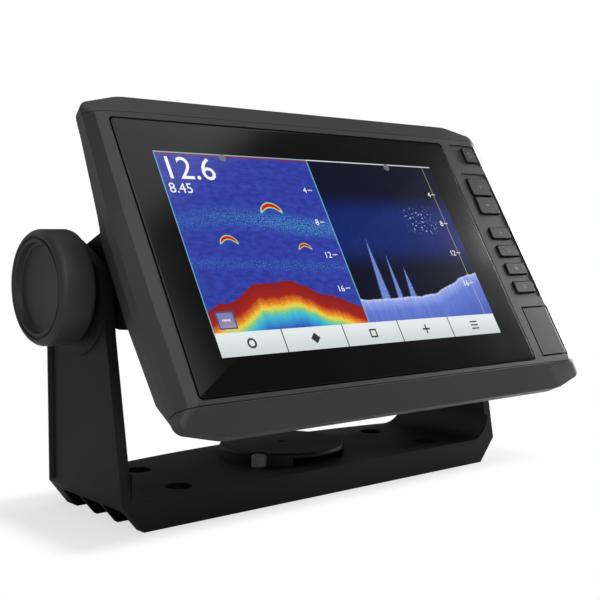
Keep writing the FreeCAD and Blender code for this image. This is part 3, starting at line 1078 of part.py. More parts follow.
# ---- all pieces ---------------------------------------------------------------------------------------
def head_pieces():
    """Pieces that tilt with the head, in the head frame."""
    pieces = {
        "front_bezel": front_bezel(),
        "top_trim_cap": trim_cap(1),
        "bottom_trim_cap": trim_cap(-1),
        "screen_glass": screen_glass(),
        "glass_gasket": glass_gasket(),
        "lcd_panel": display_layer(LCD_FRONT, LCD_THICKNESS),
        "backlight_unit": display_layer(BACKLIGHT_FRONT, BACKLIGHT_THICKNESS),
        "display_chassis": display_chassis(),
        "chassis_screws": small_screws(CHASSIS_SCREWS, FACE_WALL + 1, CHASSIS_BACK),
        "keypad_membrane": keypad_membrane(),
        "key_switches": key_switches(),
        "keypad_board": keypad_board(),
        "keypad_screws": small_screws(KEY_SCREWS, FACE_WALL + 1, KEY_BOARD_FRONT + BOARD_THICKNESS),
        "card_door": card_door(),
        "card_door_pin": card_door_pin(),
        "card_reader": card_reader(),
        "housing_seal": housing_seal(),
        "rear_cover": rear_cover(),
        "housing_screws": housing_screws(),
        "main_board": main_board(),
        "board_standoffs": board_standoffs(),
        "board_screws": small_screws(BOARD_SCREWS, CHASSIS_BACK + 1, MAIN_BOARD_BACK),
        "processor_shield": processor_shield(),
        "heat_spreader": heat_spreader(),
        "position_antenna": position_antenna(),
        "buzzer": buzzer(),
        "link_connector": link_connector(),
        "head_contact_block": head_contact_block(),
        "cradle_contact_block": cradle_contact_block(),
        "contact_pins": contact_pins(),
        "cradle_body": cradle_body(),
        "ear_inserts": ear_inserts(),
        "ear_washers": ear_washers(),
        "release_latch": release_latch(),
        "latch_pin": latch_pin(),
        "latch_spring": latch_spring(),
    }
    for name, (x, radius) in SOCKETS.items():
        pieces[name] = cable_socket(x, radius, SOCKET_CONTACT_COUNTS[name])
    for name, limits in KEYS.items():
        pieces[name] = key_cap(*limits)
    return pieces


def bracket_pieces():
    """Pieces that stay with the bracket, in its own frame."""
    pieces = {"bail_bracket": bail_bracket(), "hub_plug": hub_plug()}
    knob = {"knob_grip": knob_grip(), "knob_bolt": knob_bolt(), "knob_washer": knob_washer()}
    for name, shape in knob.items():
        pieces["right_" + name] = shape
        pieces["left_" + name] = mirrored(shape)
    return pieces


os.makedirs("parts", exist_ok=True)
everything = bracket_pieces()
for name, shape in head_pieces().items():
    everything[name] = in_place(shape)
for name, shape in everything.items():
    shape.exportStep("parts/%s.step" % name)
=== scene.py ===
"""Looks of a fish finder on its bail bracket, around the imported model. Lengths are in metres."""
import bmesh
import bpy
import json
import math
from mathutils import Matrix, Vector


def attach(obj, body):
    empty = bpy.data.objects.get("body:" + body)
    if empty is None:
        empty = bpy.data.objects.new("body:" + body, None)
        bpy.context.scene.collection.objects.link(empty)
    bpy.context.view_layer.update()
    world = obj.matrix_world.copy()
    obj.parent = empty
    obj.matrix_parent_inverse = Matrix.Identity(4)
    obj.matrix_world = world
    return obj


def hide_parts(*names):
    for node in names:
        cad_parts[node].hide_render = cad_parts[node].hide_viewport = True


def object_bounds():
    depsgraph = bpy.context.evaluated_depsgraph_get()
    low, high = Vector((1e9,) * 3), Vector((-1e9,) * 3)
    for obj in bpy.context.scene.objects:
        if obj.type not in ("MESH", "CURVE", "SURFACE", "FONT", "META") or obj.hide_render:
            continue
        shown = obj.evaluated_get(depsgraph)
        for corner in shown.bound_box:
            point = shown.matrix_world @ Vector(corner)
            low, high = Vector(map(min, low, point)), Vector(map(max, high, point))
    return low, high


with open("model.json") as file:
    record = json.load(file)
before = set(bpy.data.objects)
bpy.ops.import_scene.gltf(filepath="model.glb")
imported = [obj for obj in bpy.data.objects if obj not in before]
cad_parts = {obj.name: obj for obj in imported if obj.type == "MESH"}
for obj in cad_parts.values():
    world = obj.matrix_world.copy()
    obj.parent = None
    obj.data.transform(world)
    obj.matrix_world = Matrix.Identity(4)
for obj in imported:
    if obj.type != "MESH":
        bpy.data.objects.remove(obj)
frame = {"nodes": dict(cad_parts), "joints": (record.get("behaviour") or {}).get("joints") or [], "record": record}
cad_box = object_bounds()

MM = 0.001

# ---- the head's own axes: x across, y back into the case, z up the face -------------------------
JOINTS = {joint["name"]: joint for joint in frame["joints"]}
ACROSS = Vector((1, 0, 0))
BACK = Vector(JOINTS["power_key_press"]["axis"]).normalized()
RISE = Vector(JOINTS["card_door_swing"]["axis"]).normalized()
HEAD = Matrix((ACROSS, BACK, RISE)).transposed().to_4x4()
LEVEL_AXES = Matrix.Identity(4)
FACE_OUT = Matrix.Rotation(math.pi / 2, 4, "X")     # turns a shape that faces up to face forwards
PIVOT = Vector(JOINTS["head_tilt"]["pos_m"])
KEY_NODES = [name for name in frame["nodes"]
             if name.endswith("_key") or name.startswith("menu_key")]


def extent(node, axes=LEVEL_AXES):
    """Lowest and highest corner of a CAD node along the given axes."""
    to_axes = axes.inverted()
    corners = [to_axes @ vertex.co for vertex in frame["nodes"][node].data.vertices]
    low = Vector([min(corner[i] for corner in corners) for i in range(3)])
    high = Vector([max(corner[i] for corner in corners) for i in range(3)])
    return low, high


# ---- shader maths -------------------------------------------------------------------------------
class Value:
    """A socket of a finish's nodes; arithmetic on it adds Math nodes."""

    def __init__(self, finish, socket):
        self.finish = finish
        self.socket = socket

    def maths(self, operation, *inputs):
        return self.finish.node("ShaderNodeMath", {"operation": operation}, dict(enumerate(inputs)))

    def __add__(self, other):
        return self.maths("ADD", self, other)

    def __radd__(self, other):
        return self.maths("ADD", other, self)

    def __sub__(self, other):
        return self.maths("SUBTRACT", self, other)

    def __rsub__(self, other):
        return self.maths("SUBTRACT", other, self)

    def __mul__(self, other):
        return self.maths("MULTIPLY", self, other)

    def __rmul__(self, other):
        return self.maths("MULTIPLY", other, self)

    def __truediv__(self, other):
        return self.maths("DIVIDE", self, other)

    def __abs__(self):
        return self.maths("ABSOLUTE", self)

    def sine(self):
        return self.maths("SINE", self)

    def root(self):
        return self.maths("SQRT", self)

    def most(self, other):
        return self.maths("MAXIMUM", self, other)

    def rises(self, low, high):
        """0 below low, 1 above high, smooth between them."""
        return self.finish.node("ShaderNodeMapRange", {"interpolation_type": "SMOOTHSTEP"},
                                {0: self, 1: low, 2: high, 3: 0.0, 4: 1.0})

    def within(self, low, high, soft):
        """1 between low and high, with soft edges."""
        return self.rises(low - soft, low + soft) * (1 - self.rises(high - soft, high + soft))


class Finish:
    """A material with one Principled shader. Constants are set on the shader's own sockets."""

    def __init__(self, name, constants):
        self.material = bpy.data.materials.new(name)
        self.material.use_nodes = True
        self.tree = self.material.node_tree
        self.shader = self.tree.nodes["Principled BSDF"]
        for socket, value in constants.items():
            self.shader.inputs[socket].default_value = value

    def node(self, kind, settings=None, inputs=None, output=0):
        made = self.tree.nodes.new(kind)
        for name, value in (settings or {}).items():
            if name == "stops":
                self.set_stops(made.color_ramp, value)
            else:
                setattr(made, name, value)
        for key, value in (inputs or {}).items():
            self.feed(made.inputs[key], value)
        return Value(self, made.outputs[output])

    def set_stops(self, ramp, stops):
        while len(ramp.elements) < len(stops):
            ramp.elements.new(0.5)
        for element, (place, colour) in zip(ramp.elements, stops):
            element.position = place
            element.color = (*colour, 1)

    def feed(self, socket, value):
        if isinstance(value, Value):
            self.tree.links.new(value.socket, socket)
        elif isinstance(value, tuple) and len(value) == 3 and socket.type == "RGBA":
            socket.default_value = (*value, 1)
        else:
            socket.default_value = value

    def give(self, socket, value):
        """Feed one of the shader's own sockets."""
        self.feed(self.shader.inputs[socket], value)

    def place(self):
        return self.node("ShaderNodeTexCoord", output="Object")

    def vector(self, x, y, z=0.0):
        return self.node("ShaderNodeCombineXYZ", inputs={0: x, 1: y, 2: z})

    def noise(self, place, scale, detail=2.0, roughness=0.5):
        return self.node("ShaderNodeTexNoise", None, {
            "Vector": place, "Scale": scale, "Detail": detail, "Roughness": roughness}, "Fac")

    def mix(self, factor, first, second):
        return self.node("ShaderNodeMix", {"data_type": "RGBA"},
                         {0: factor, 6: first, 7: second}, output=2)

    def ramp(self, value, stops):
        return self.node("ShaderNodeValToRGB", {"stops": stops}, {0: value})

    def bump(self, height, depth, strength=1.0):
        self.give("Normal", self.node("ShaderNodeBump", inputs={"Height": height, "Distance": depth,
                                                                "Strength": strength}))


# ---- finishes -----------------------------------------------------------------------------------
def shade(colour, factor):
    return tuple(channel * factor for channel in colour)


def moulded(name, colour, roughness, grain=0.30 * MM, relief=0.012 * MM, ior=1.45):
    """Moulded plastic: a fine spark texture, faint flow marks, and uneven gloss from handling."""
    finish = Finish(name, {"IOR": ior})
    place = finish.place()
    flow = finish.noise(place, 22.0, 3.0)
    handled = finish.noise(place, 60.0, 5.0, 0.6)
    spark = finish.noise(place, 1 / grain, 2.0)
    finish.give("Base Color", finish.mix(flow, shade(colour, 0.86), shade(colour, 1.14)))
    finish.give("Roughness", roughness + 0.10 * (handled - 0.5) + 0.05 * (spark - 0.5))
    finish.bump(spark, relief)
    return finish


def rubber(name, colour):
    """Matte rubber with a dusty bloom."""
    finish = Finish(name, {"IOR": 1.4})
    place = finish.place()
    bloom = finish.noise(place, 90.0, 5.0, 0.65)
    finish.give("Base Color", finish.mix(bloom.rises(0.45, 0.75), colour, shade(colour, 1.8)))
    finish.give("Roughness", 0.72 + 0.14 * bloom)
    finish.bump(finish.noise(place, 3500.0, 1.0), 0.01 * MM)
    return finish


def metal(name, colour, roughness, brushed=(1.0, 1.0, 1.0)):
    """Metal with fine lines along one axis where brushed stretches them."""
    finish = Finish(name, {"Metallic": 1.0})
    lines = finish.node("ShaderNodeMapping", inputs={"Vector": finish.place(), "Scale": brushed})
    wear = finish.noise(lines, 900.0, 3.0)
    finish.give("Base Color", finish.mix(wear, shade(colour, 0.88), colour))
    finish.give("Roughness", roughness + 0.16 * (wear - 0.5))
    finish.bump(wear, 0.006 * MM)
    return finish


def circuit_board():
    """Green solder mask over a maze of copper tracks, with bare pads."""
    finish = Finish("circuit_board", {"IOR": 1.5})
    place = finish.place()
    upright = finish.node("ShaderNodeMapping", inputs={
        "Vector": place, "Rotation": (math.pi / 2, 0, 0)})
    tracks = finish.node("ShaderNodeTexBrick", {"offset": 0.5}, {
        "Vector": upright, "Scale": 160.0, "Mortar Size": 0.03, "Color1": (0.010, 0.090, 0.040, 1),
        "Color2": (0.014, 0.120, 0.052, 1), "Mortar": (0.040, 0.210, 0.090, 1)}, output="Color")
    pads = finish.noise(place, 420.0, 0.0).rises(0.70, 0.72)
    finish.give("Base Color", finish.mix(pads, tracks, (0.72, 0.62, 0.40)))
    finish.give("Metallic", pads)
    finish.give("Roughness", 0.34 + 0.1 * finish.noise(place, 120.0))
    return finish


def printed(name, colour):
    """Pad-printed ink on the keys."""
    finish = Finish(name, {"IOR": 1.45})
    wear = finish.noise(finish.place(), 700.0, 3.0)
    finish.give("Base Color", finish.mix(wear, shade(colour, 0.8), colour))
    finish.give("Roughness", 0.5 + 0.1 * wear)
    return finish


def lit(name, colour):
    """Lit figures on the display."""
    finish = Finish(name, {"Roughness": 0.3, "Base Color": (0, 0, 0, 1), "Emission Strength": 1.0})
    glow = finish.noise(finish.place(), 500.0, 1.0)
    finish.give("Emission Color", finish.mix(glow, shade(colour, 0.94), colour))
    return finish


CASE = moulded("case_plastic", (0.030, 0.030, 0.031), 0.46)
TRIM = moulded("trim_plastic", (0.031, 0.031, 0.032), 0.44)
BRACKET = moulded("bracket_plastic", (0.0085, 0.0085, 0.0090), 0.54, 0.45 * MM, 0.02 * MM, 1.32)
KNOB = moulded("knob_plastic", (0.038, 0.038, 0.039), 0.48, ior=1.38)
KEYS = moulded("key_plastic", (0.012, 0.012, 0.013), 0.48, grain=0.25 * MM)
SOCKETS = moulded("socket_plastic", (0.020, 0.020, 0.021), 0.55)
WHITE = moulded("white_plastic", (0.78, 0.78, 0.76), 0.50)
GREY = moulded("grey_plastic", (0.24, 0.245, 0.25), 0.46)
CERAMIC = moulded("ceramic", (0.56, 0.50, 0.40), 0.42, grain=0.2 * MM)
RUBBER = rubber("dark_rubber", (0.012, 0.012, 0.012))
STEEL = metal("steel", (0.52, 0.53, 0.54), 0.32, (1.0, 8.0, 1.0))
BRASS = metal("brass", (0.76, 0.56, 0.24), 0.30)
ALUMINIUM = metal("aluminium", (0.74, 0.75, 0.76), 0.34, (8.0, 1.0, 1.0))
BOARD = circuit_board()
PANEL = moulded("panel_glass", (0.020, 0.024, 0.032), 0.10, relief=0.0005 * MM)
INK = printed("key_ink", (0.20, 0.20, 0.21))
FIGURES = lit("lit_figures", (0.93, 0.95, 0.97))
SLOTS = {"case_plastic": CASE, "trim_plastic": TRIM, "bracket_plastic": BRACKET,
         "knob_plastic": KNOB, "key_plastic": KEYS, "socket_plastic": SOCKETS,
         "white_plastic": WHITE, "grey_plastic": GREY, "ceramic": CERAMIC, "dark_rubber": RUBBER,
         "steel": STEEL, "brass": BRASS, "aluminium": ALUMINIUM, "circuit_board": BOARD,
         "panel_glass": PANEL, "screen_glass": PANEL}
SLOT_OF = {part["node"]: part["material_slot"] for part in frame["record"]["subparts"]}
BODY_OF = {node: body
           for body, nodes in frame["record"]["behaviour"]["bodies"].items() for node in nodes}
for node, thing in frame["nodes"].items():
    thing.data.materials.clear()
    thing.data.materials.append(SLOTS[SLOT_OF[node]].material)


# ---- making pieces ------------------------------------------------------------------------------
SAME_PLACE = 0.002 * MM          # vertices closer than this are one
FLAT = math.radians(0.3)         # faces that turn by less than this are one


def piece(name, form, finish, body, replaced=(), axes=LEVEL_AXES, sharp=30.0):
    """Turn a bmesh into a piece of the object, with its place in its mesh."""
    bmesh.ops.recalc_face_normals(form, faces=form.faces)
    form.transform(axes)
    mesh = bpy.data.meshes.new(name)
    form.to_mesh(mesh)
    form.free()
    mesh.shade_smooth()
    mesh.set_sharp_from_angle(angle=math.radians(sharp))
    mesh.materials.append(finish.material)
    made = bpy.data.objects.new(name, mesh)
    bpy.context.scene.collection.objects.link(made)
    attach(made, body)
    if replaced:
        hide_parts(*replaced)
    return made


def rounded_off(form, edges, width, segments):
    bmesh.ops.bevel(form, geom=edges, offset=width, offset_type="OFFSET", segments=segments,
                    profile=0.5, affect="EDGES", clamp_overlap=True, material=-1)


def softened(node, width, least_turn=12.0, gap=0.0, cuts=()):
    """Stand-in for a CAD node whose moulded edges are rounded off. Its sides are drawn in by gap,
    and what lies beyond each cut, a point and a direction, is taken away."""
    form = bmesh.new()
    form.from_mesh(frame["nodes"][node].data)
    low, high = extent(node, HEAD)
    middle = HEAD @ ((low + high) / 2)
    shares = (1 - 2 * gap / (high.x - low.x), 1, 1 - 2 * gap / (high.z - low.z), 1)
    bmesh.ops.transform(form, matrix=HEAD @ Matrix.Diagonal(shares) @ HEAD.inverted(),
                        space=Matrix.Translation(-middle), verts=form.verts)
    bmesh.ops.remove_doubles(form, verts=form.verts, dist=SAME_PLACE)
    for point, beyond in cuts:
        everything = form.verts[:] + form.edges[:] + form.faces[:]
        sliced = bmesh.ops.bisect_plane(form, geom=everything, dist=0.001 * MM, plane_co=point,
                                        plane_no=beyond, clear_outer=True)["geom_cut"]
        rims = [item for item in sliced if isinstance(item, bmesh.types.BMEdge)]
        bmesh.ops.holes_fill(form, edges=rims, sides=0)
    bmesh.ops.dissolve_limit(form, angle_limit=FLAT, verts=form.verts, edges=form.edges)
    edges = [edge for edge in form.edges
             if edge.is_manifold and edge.calc_face_angle() > math.radians(least_turn)
             and edge.calc_length() > width]
    rounded_off(form, edges, width, 2)
    slot = SLOT_OF[node]
    made = piece(node + "_moulding", form, SLOTS[slot], BODY_OF[node], (node,))
    weighted = made.modifiers.new("flat_faces", "WEIGHTED_NORMAL")
    weighted.keep_sharp = True
    weighted.weight = 100
    return made


def rounded_plate(low, high, corner, edge):
    """Plate facing -y with rounded corners and a softened front edge."""
    form = bmesh.new()
    bmesh.ops.create_cube(form, size=1.0)
    middle = (low + high) / 2
    bmesh.ops.scale(form, vec=high - low, verts=form.verts)
    bmesh.ops.translate(form, vec=middle, verts=form.verts)
    upright = [e for e in form.edges if abs((e.verts[0].co - e.verts[1].co).normalized().y) > 0.9]
    rounded_off(form, upright, corner, 6)
    front = [e for e in form.edges if all(abs(v.co.y - low.y) < 1e-7 for v in e.verts)]
    rounded_off(form, front, edge, 3)
    return form


# ---- screen glass with the sonar picture --------------------------------------------------------
ACTIVE_WIDTH = 154.1 * MM        # lit area of the display
ACTIVE_HEIGHT = 88.0 * MM
GLASS_CORNER = 2.0 * MM
GLASS_EDGE = 0.3 * MM
GLASS_GAP = 0.5 * MM             # dark line between glass and case
WIDE = ACTIVE_WIDTH / MM         # places on the display: millimetres from its lower left corner
HIGH = ACTIVE_HEIGHT / MM
BAR = 9.6                        # height of the bar of soft keys
SPLIT = 77.0                     # line between the two sonar views
FRAME_LINE = 0.35
LEFT_SCALE_X = 72.6
RIGHT_SCALE_X = 148.6
SCALE_STEP = 15.6                # from one mark of the depth scales to the next
SCALE_MARKS = range(1, 5)
SCALE_UNIT = 4                   # depth from one mark to the next
SOFT_KEYS = 5
BLACK = (0.0, 0.0, 0.002)
glass_low, glass_high = extent("screen_glass", HEAD)
panel_low, panel_high = extent("lcd_panel", HEAD)
display_middle = (panel_low + panel_high) / 2
display_middle.y = glass_low.y
DISPLAY_CORNER = display_middle - Vector((ACTIVE_WIDTH / 2, 0, ACTIVE_HEIGHT / 2))


def strongest(echoes):
    """The greatest of several values."""
    found = echoes[0]
    for echo in echoes[1:]:
        found = found.most(echo)
    return found


def line_echo(x, y, left, right, low, high, soft=0.12):
    """1 inside a rectangle on the display."""
    return x.within(left, right, soft) * y.within(low, high, soft)


FISH = (                         # middle, top, spread, width, height
    (21.0, 49.5, 5.0, 1.5, 3.4),
    (47.5, 64.5, 6.5, 1.9, 4.2),
    (58.0, 46.0, 4.0, 1.2, 2.6),
)
TOWERS = (                       # middle, half width, top
    (92.0, 3.4, 49.0),
    (100.5, 2.2, 41.0),
    (108.5, 2.8, 35.0),
)
TOWER_FOOT = 16.0
SHOAL = (124.0, 142.0, 52.0, 64.0)
FISH_COLOURS = [(0.0, (0.03, 0.20, 0.50)), (0.28, (0.10, 0.60, 0.55)), (0.45, (0.85, 0.75, 0.05)),
                (0.62, (0.75, 0.06, 0.02)), (1.0, (0.42, 0.01, 0.01))]
BED_COLOURS = [(0.0, (0.24, 0.010, 0.010)), (0.30, (0.34, 0.014, 0.010)),
               (0.44, (0.80, 0.22, 0.02)), (0.53, (0.82, 0.66, 0.05)),
               (0.62, (0.20, 0.58, 0.22)), (0.72, (0.05, 0.48, 0.62)),
               (0.90, (0.030, 0.20, 0.58)), (1.0, (0.026, 0.070, 0.40))]
PALE_BED_COLOURS = [(0.0, (0.74, 0.80, 0.98)), (0.05, (0.36, 0.46, 0.92)),
                    (0.25, (0.15, 0.22, 0.66)), (0.65, (0.09, 0.14, 0.54)),
                    (1.0, (0.06, 0.10, 0.44))]


def arch_echo(x, y, middle, top, spread, width, height):
    """A fish on the sonar: an arch that is strongest at its top."""
    across = (x - middle) / spread
    ridge = y - top + height * across * across
    return (1 - abs(ridge / width).rises(0.0, 1.0)) * (1 - abs(across).rises(0.55, 1.0))


def broad_sonar(finish, x, y):
    """Left view: blue water with echoes, and a sea bed that runs from dark red to blue."""
    rough = finish.noise(finish.vector(x, 0.0), 0.22, 4.0)
    fine = finish.noise(finish.vector(x, y), 1.7, 4.0, 0.7)
    coarse = finish.noise(finish.vector(x * 0.5, y), 0.5, 3.0)
    bed = 24.0 + 6.0 * (x * 0.075 - 1.2).sine() + 3.4 * (rough - 0.5)
    bed = bed + 1.6 * (x * 0.31).sine() * rough
    water = finish.mix(coarse.rises(0.3, 0.7), (0.022, 0.030, 0.290), (0.034, 0.056, 0.400))
    water = finish.mix(0.25 * fine.rises(0.45, 0.75), water, (0.040, 0.130, 0.520))
    layer = 1 - abs((y - 56.0 - 2.5 * (x * 0.06).sine()) / 7.0).rises(0.0, 1.0)
    layer = layer * fine.rises(0.46, 0.62) * (0.40 + 0.60 * x.rises(10.0, 60.0))
    second = (1 - abs((y - 39.0 + 0.05 * x) / 3.6).rises(0.0, 1.0)) * fine.rises(0.50, 0.64)
    water = finish.mix(0.80 * layer + 0.45 * second, water, (0.080, 0.480, 0.720))
    specks = finish.noise(finish.vector(x, y), 2.6, 1.0).rises(0.66, 0.72) * layer.rises(0.1, 0.6)
    water = finish.mix(0.8 * specks, water, (0.45, 0.75, 0.45))
    fish = strongest([arch_echo(x, y, *shape) for shape in FISH])
    fish = fish + 0.35 * (fine - 0.5) * fish.rises(0.02, 0.2)
    water = finish.mix(fish.rises(0.06, 0.2), water, finish.ramp(fish, FISH_COLOURS))
    below = (bed - y) / 20.0 + 0.30 * (fine - 0.5)
    picture = finish.mix((bed - y).rises(-0.25, 0.25), water, finish.ramp(below, BED_COLOURS))
    surface = y.rises(86.3, 87.0) * finish.noise(finish.vector(x, 0.0), 0.5, 3.0).rises(0.35, 0.55)
    return finish.mix(surface, picture, (0.22, 0.010, 0.040))


def narrow_sonar(finish, x, y):
    """Right view: dark water with soft streaks, a pale bed and three reef towers."""
    streak = finish.noise(finish.vector(x, y * 0.05), 1.1, 3.0)
    fine = finish.noise(finish.vector(x, y * 0.6), 2.4, 4.0, 0.7)
    bed_shape = finish.noise(finish.vector(x, 3.0), 0.16, 3.0)
    bed = 20.0 + 10.5 * x.rises(112.0, 156.0) + 3.0 * (bed_shape - 0.5)
    deep = 0.10 + 0.90 * y.within(40.0, 66.0, 7.0)
    water = finish.mix(deep * (0.30 + 0.70 * streak), BLACK, (0.004, 0.022, 0.200))
    water = finish.mix(0.5 * fine.rises(0.5, 0.8) * deep, water, (0.02, 0.08, 0.42))
    bodies = []
    for middle, half, top in TOWERS:
        lean = middle + 0.05 * (y - 20.0) + 1.6 * (fine - 0.5)
        share = 1 - (y - TOWER_FOOT) / (top - TOWER_FOOT)
        body = 1 - abs((x - lean) / (half * share.most(0.02))).rises(0.55, 1.0)
        bodies.append(body * (1 - y.rises(top - 0.8, top + 0.4)))
    towers = strongest(bodies)
    water = finish.mix(towers * (0.35 + 0.65 * fine), water, (0.20, 0.32, 0.90))
    water = finish.mix(towers.rises(0.6, 1.0) * fine.rises(0.5, 0.8), water, (0.50, 0.62, 0.96))
    shoal = finish.noise(finish.vector(x, y), 1.0, 0.0).rises(0.70, 0.76)
    shoal = shoal * line_echo(x, y, *SHOAL, 3.0)
    water = finish.mix(shoal, water, (0.50, 0.66, 0.95))
    below = (bed - y) / 22.0
    ground = finish.ramp(below, PALE_BED_COLOURS)
    ground = finish.mix(0.45 * streak.rises(0.3, 0.7), ground, (0.05, 0.10, 0.48))
    return finish.mix((bed - y).rises(-0.3, 0.3), water, ground)


def soft_key_bar(finish, x, y):
    """Bar of five pale soft keys, each with a plain sign."""
    pale = finish.mix(y.rises(0.0, BAR), (0.62, 0.68, 0.68), (0.78, 0.83, 0.83))
    cell = WIDE / SOFT_KEYS
    fifth = finish.node("ShaderNodeMath", {"operation": "PINGPONG"}, {0: x, 1: cell / 2})
    along = finish.node("ShaderNodeMath", {"operation": "MODULO"}, {0: x, 1: cell})
    gap = 1 - fifth.rises(0.15, 0.35)
    centre = along - cell / 2
    up = y - BAR / 2
    index = (x - along) / cell
    ring = (centre * centre + up * up).root()
    signs = [abs(ring - 1.7).rises(0.55, 0.30),
             (abs(centre) + abs(up)).rises(2.5, 2.2),
             abs(centre).most(abs(up)).rises(2.0, 1.8) * abs(centre).most(abs(up)).rises(1.1, 1.3),
             (abs(centre).rises(0.5, 0.3) * abs(up).rises(2.2, 2.0)).most(
                 abs(up).rises(0.5, 0.3) * abs(centre).rises(2.2, 2.0)),
             abs(centre).rises(2.4, 2.2) * abs(abs(abs(up) - 0.8) - 0.8).rises(0.40, 0.25)]
    sign = gap
    for number, shape in enumerate(signs):
        sign = sign.most(shape * index.within(number - 0.5, number + 0.5, 0.01))
    return finish.mix(sign, pale, (0.030, 0.036, 0.040))


def sonar_picture(finish):
    """The whole lit picture, from the glass's own map, which is 0 to 1 over the lit area."""
    split = finish.tree.nodes.new("ShaderNodeSeparateXYZ")
    finish.feed(split.inputs[0], finish.node("ShaderNodeTexCoord", output="UV"))
    u = Value(finish, split.outputs[0])
    v = Value(finish, split.outputs[1])
    x = u * WIDE
    y = v * HIGH
    right = x.rises(SPLIT - 0.05, SPLIT + 0.05)
    picture = finish.mix(right, broad_sonar(finish, x, y), narrow_sonar(finish, x, y))
    outline = 1 - x.rises(FRAME_LINE, FRAME_LINE + 0.2)
    outline = outline.most(x.within(SPLIT - 0.3, SPLIT + 0.3, 0.1))
    picture = finish.mix(0.75 * outline, picture, (0.16, 0.50, 0.62))
    lid = y.rises(HIGH - 0.6, HIGH - 0.4)
    picture = finish.mix(lid, picture, finish.mix(right, (0.30, 0.42, 0.44), (0.70, 0.74, 0.76)))
    ticks = []
    for scale_x in (LEFT_SCALE_X, RIGHT_SCALE_X):
        for mark in SCALE_MARKS:
            level = HIGH - mark * SCALE_STEP
            ticks.append(line_echo(x, y, scale_x - 1.2, scale_x + 1.2, level - 0.22, level + 0.22))
    ruler = x.within(RIGHT_SCALE_X - 0.12, RIGHT_SCALE_X + 0.12, 0.08)
    picture = finish.mix(strongest(ticks).most(0.6 * ruler), picture, (0.80, 0.74, 0.55))
    discs = []
    for middle in (SPLIT * 0.42, SPLIT * 1.62):
        ring = ((x - middle) * (x - middle) + (y - HIGH + 1.6) * (y - HIGH + 1.6)).root()
        discs.append(ring.rises(1.9, 1.6))
    picture = finish.mix(0.85 * strongest(discs), picture, (0.16, 0.17, 0.19))
    button = line_echo(x, y, 3.4, 11.6, BAR + 1.4, BAR + 8.6)
    rim = button - line_echo(x, y, 3.9, 11.1, BAR + 1.9, BAR + 8.1)
    picture = finish.mix(0.8 * button, picture, (0.20, 0.26, 0.50))
    picture = finish.mix(rim, picture, (0.03, 0.06, 0.22))
    hand = line_echo(x, y, 5.6, 9.4, BAR + 4.6, BAR + 5.4)
    picture = finish.mix(hand, picture, (0.62, 0.66, 0.80))
    bar = 1 - y.rises(BAR - 0.1, BAR + 0.1)
    picture = finish.mix(bar, picture, soft_key_bar(finish, x, y))
    lit_area = x.within(0.0, WIDE, 0.02) * y.within(0.0, HIGH, 0.02)
    return finish.mix(lit_area, (0.0, 0.0, 0.0), picture)


def screen_glass():
    finish = Finish("screen_glass", {"IOR": 1.33, "Emission Strength": 1.0})
    place = finish.place()
    smudge = finish.noise(place, 38.0, 4.0, 0.6)
    finish.give("Base Color", finish.mix(smudge, (0.0030, 0.0030, 0.0034),
                                         (0.0040, 0.0040, 0.0044)))
    finish.give("Roughness", 0.155 + 0.03 * smudge.rises(0.45, 0.75))
    finish.give("Emission Color", sonar_picture(finish))
    margin = Vector((GLASS_GAP, 0, GLASS_GAP))
    form = rounded_plate(glass_low + margin, glass_high - margin, GLASS_CORNER, GLASS_EDGE)
    uv = form.loops.layers.uv.new("UVMap")
    for face in form.faces:
        for loop in face.loops:
            shift = loop.vert.co - DISPLAY_CORNER
            loop[uv].uv = (shift.x / ACTIVE_WIDTH, shift.z / ACTIVE_HEIGHT)
    return piece("screen_glass_pane", form, finish, "head", ("screen_glass",), HEAD)


FIGURE_THICKNESS = 0.03 * MM
FIGURE_PROUD = 0.01 * MM
FIGURE_SHARE = 0.72              # height of a figure as a share of the font's size


def figures(name, text, x, y, height, align="LEFT"):
    """Numbers on the display. x and y are in millimetres from its lower left corner."""
    curve = bpy.data.curves.new(name, "FONT")
    curve.body = text
    curve.size = height * MM / FIGURE_SHARE
    curve.align_x = align
    curve.extrude = FIGURE_THICKNESS / 2
    curve.resolution_u = 3
    source = bpy.data.objects.new(name + "_curve", curve)
    form = bmesh.new()
    mesh = bpy.data.meshes.new_from_object(source)
    form.from_mesh(mesh)
    bpy.data.objects.remove(source)
    bpy.data.meshes.remove(mesh)
    bmesh.ops.remove_doubles(form, verts=form.verts, dist=0.0001 * MM)
    spot = DISPLAY_CORNER + Vector((x * MM, -FIGURE_PROUD - FIGURE_THICKNESS / 2, y * MM))
    form.transform(Matrix.Translation(spot) @ FACE_OUT)
    return piece(name, form, FIGURES, "head", axes=HEAD)


# ---- knobs --------------------------------------------------------------------------------------
KNOB_BACK = (                    # millimetres in front of the back, and share of the radius
    (0.0, 0.30), (0.0, 0.93), (0.4, 0.960), (1.1, 0.987), (2.2, 1.0))
KNOB_END = (                     # millimetres behind the end, and share of the radius
    (2.6, 0.998), (1.6, 0.985), (0.6, 0.955), (0.1, 0.930), (0.0, 0.905),              # rim
    (0.0, 0.885), (0.25, 0.875), (0.9, 0.868), (0.9, 0.842), (0.25, 0.836), (0.0, 0.826),  # groove
    (0.0, 0.800), (0.3, 0.782), (2.3, 0.762),                                          # ring
    (2.8, 0.735), (3.0, 0.60), (3.2, 0.30), (3.3, 0.0))                                # dish
KNOB_STEPS = 96


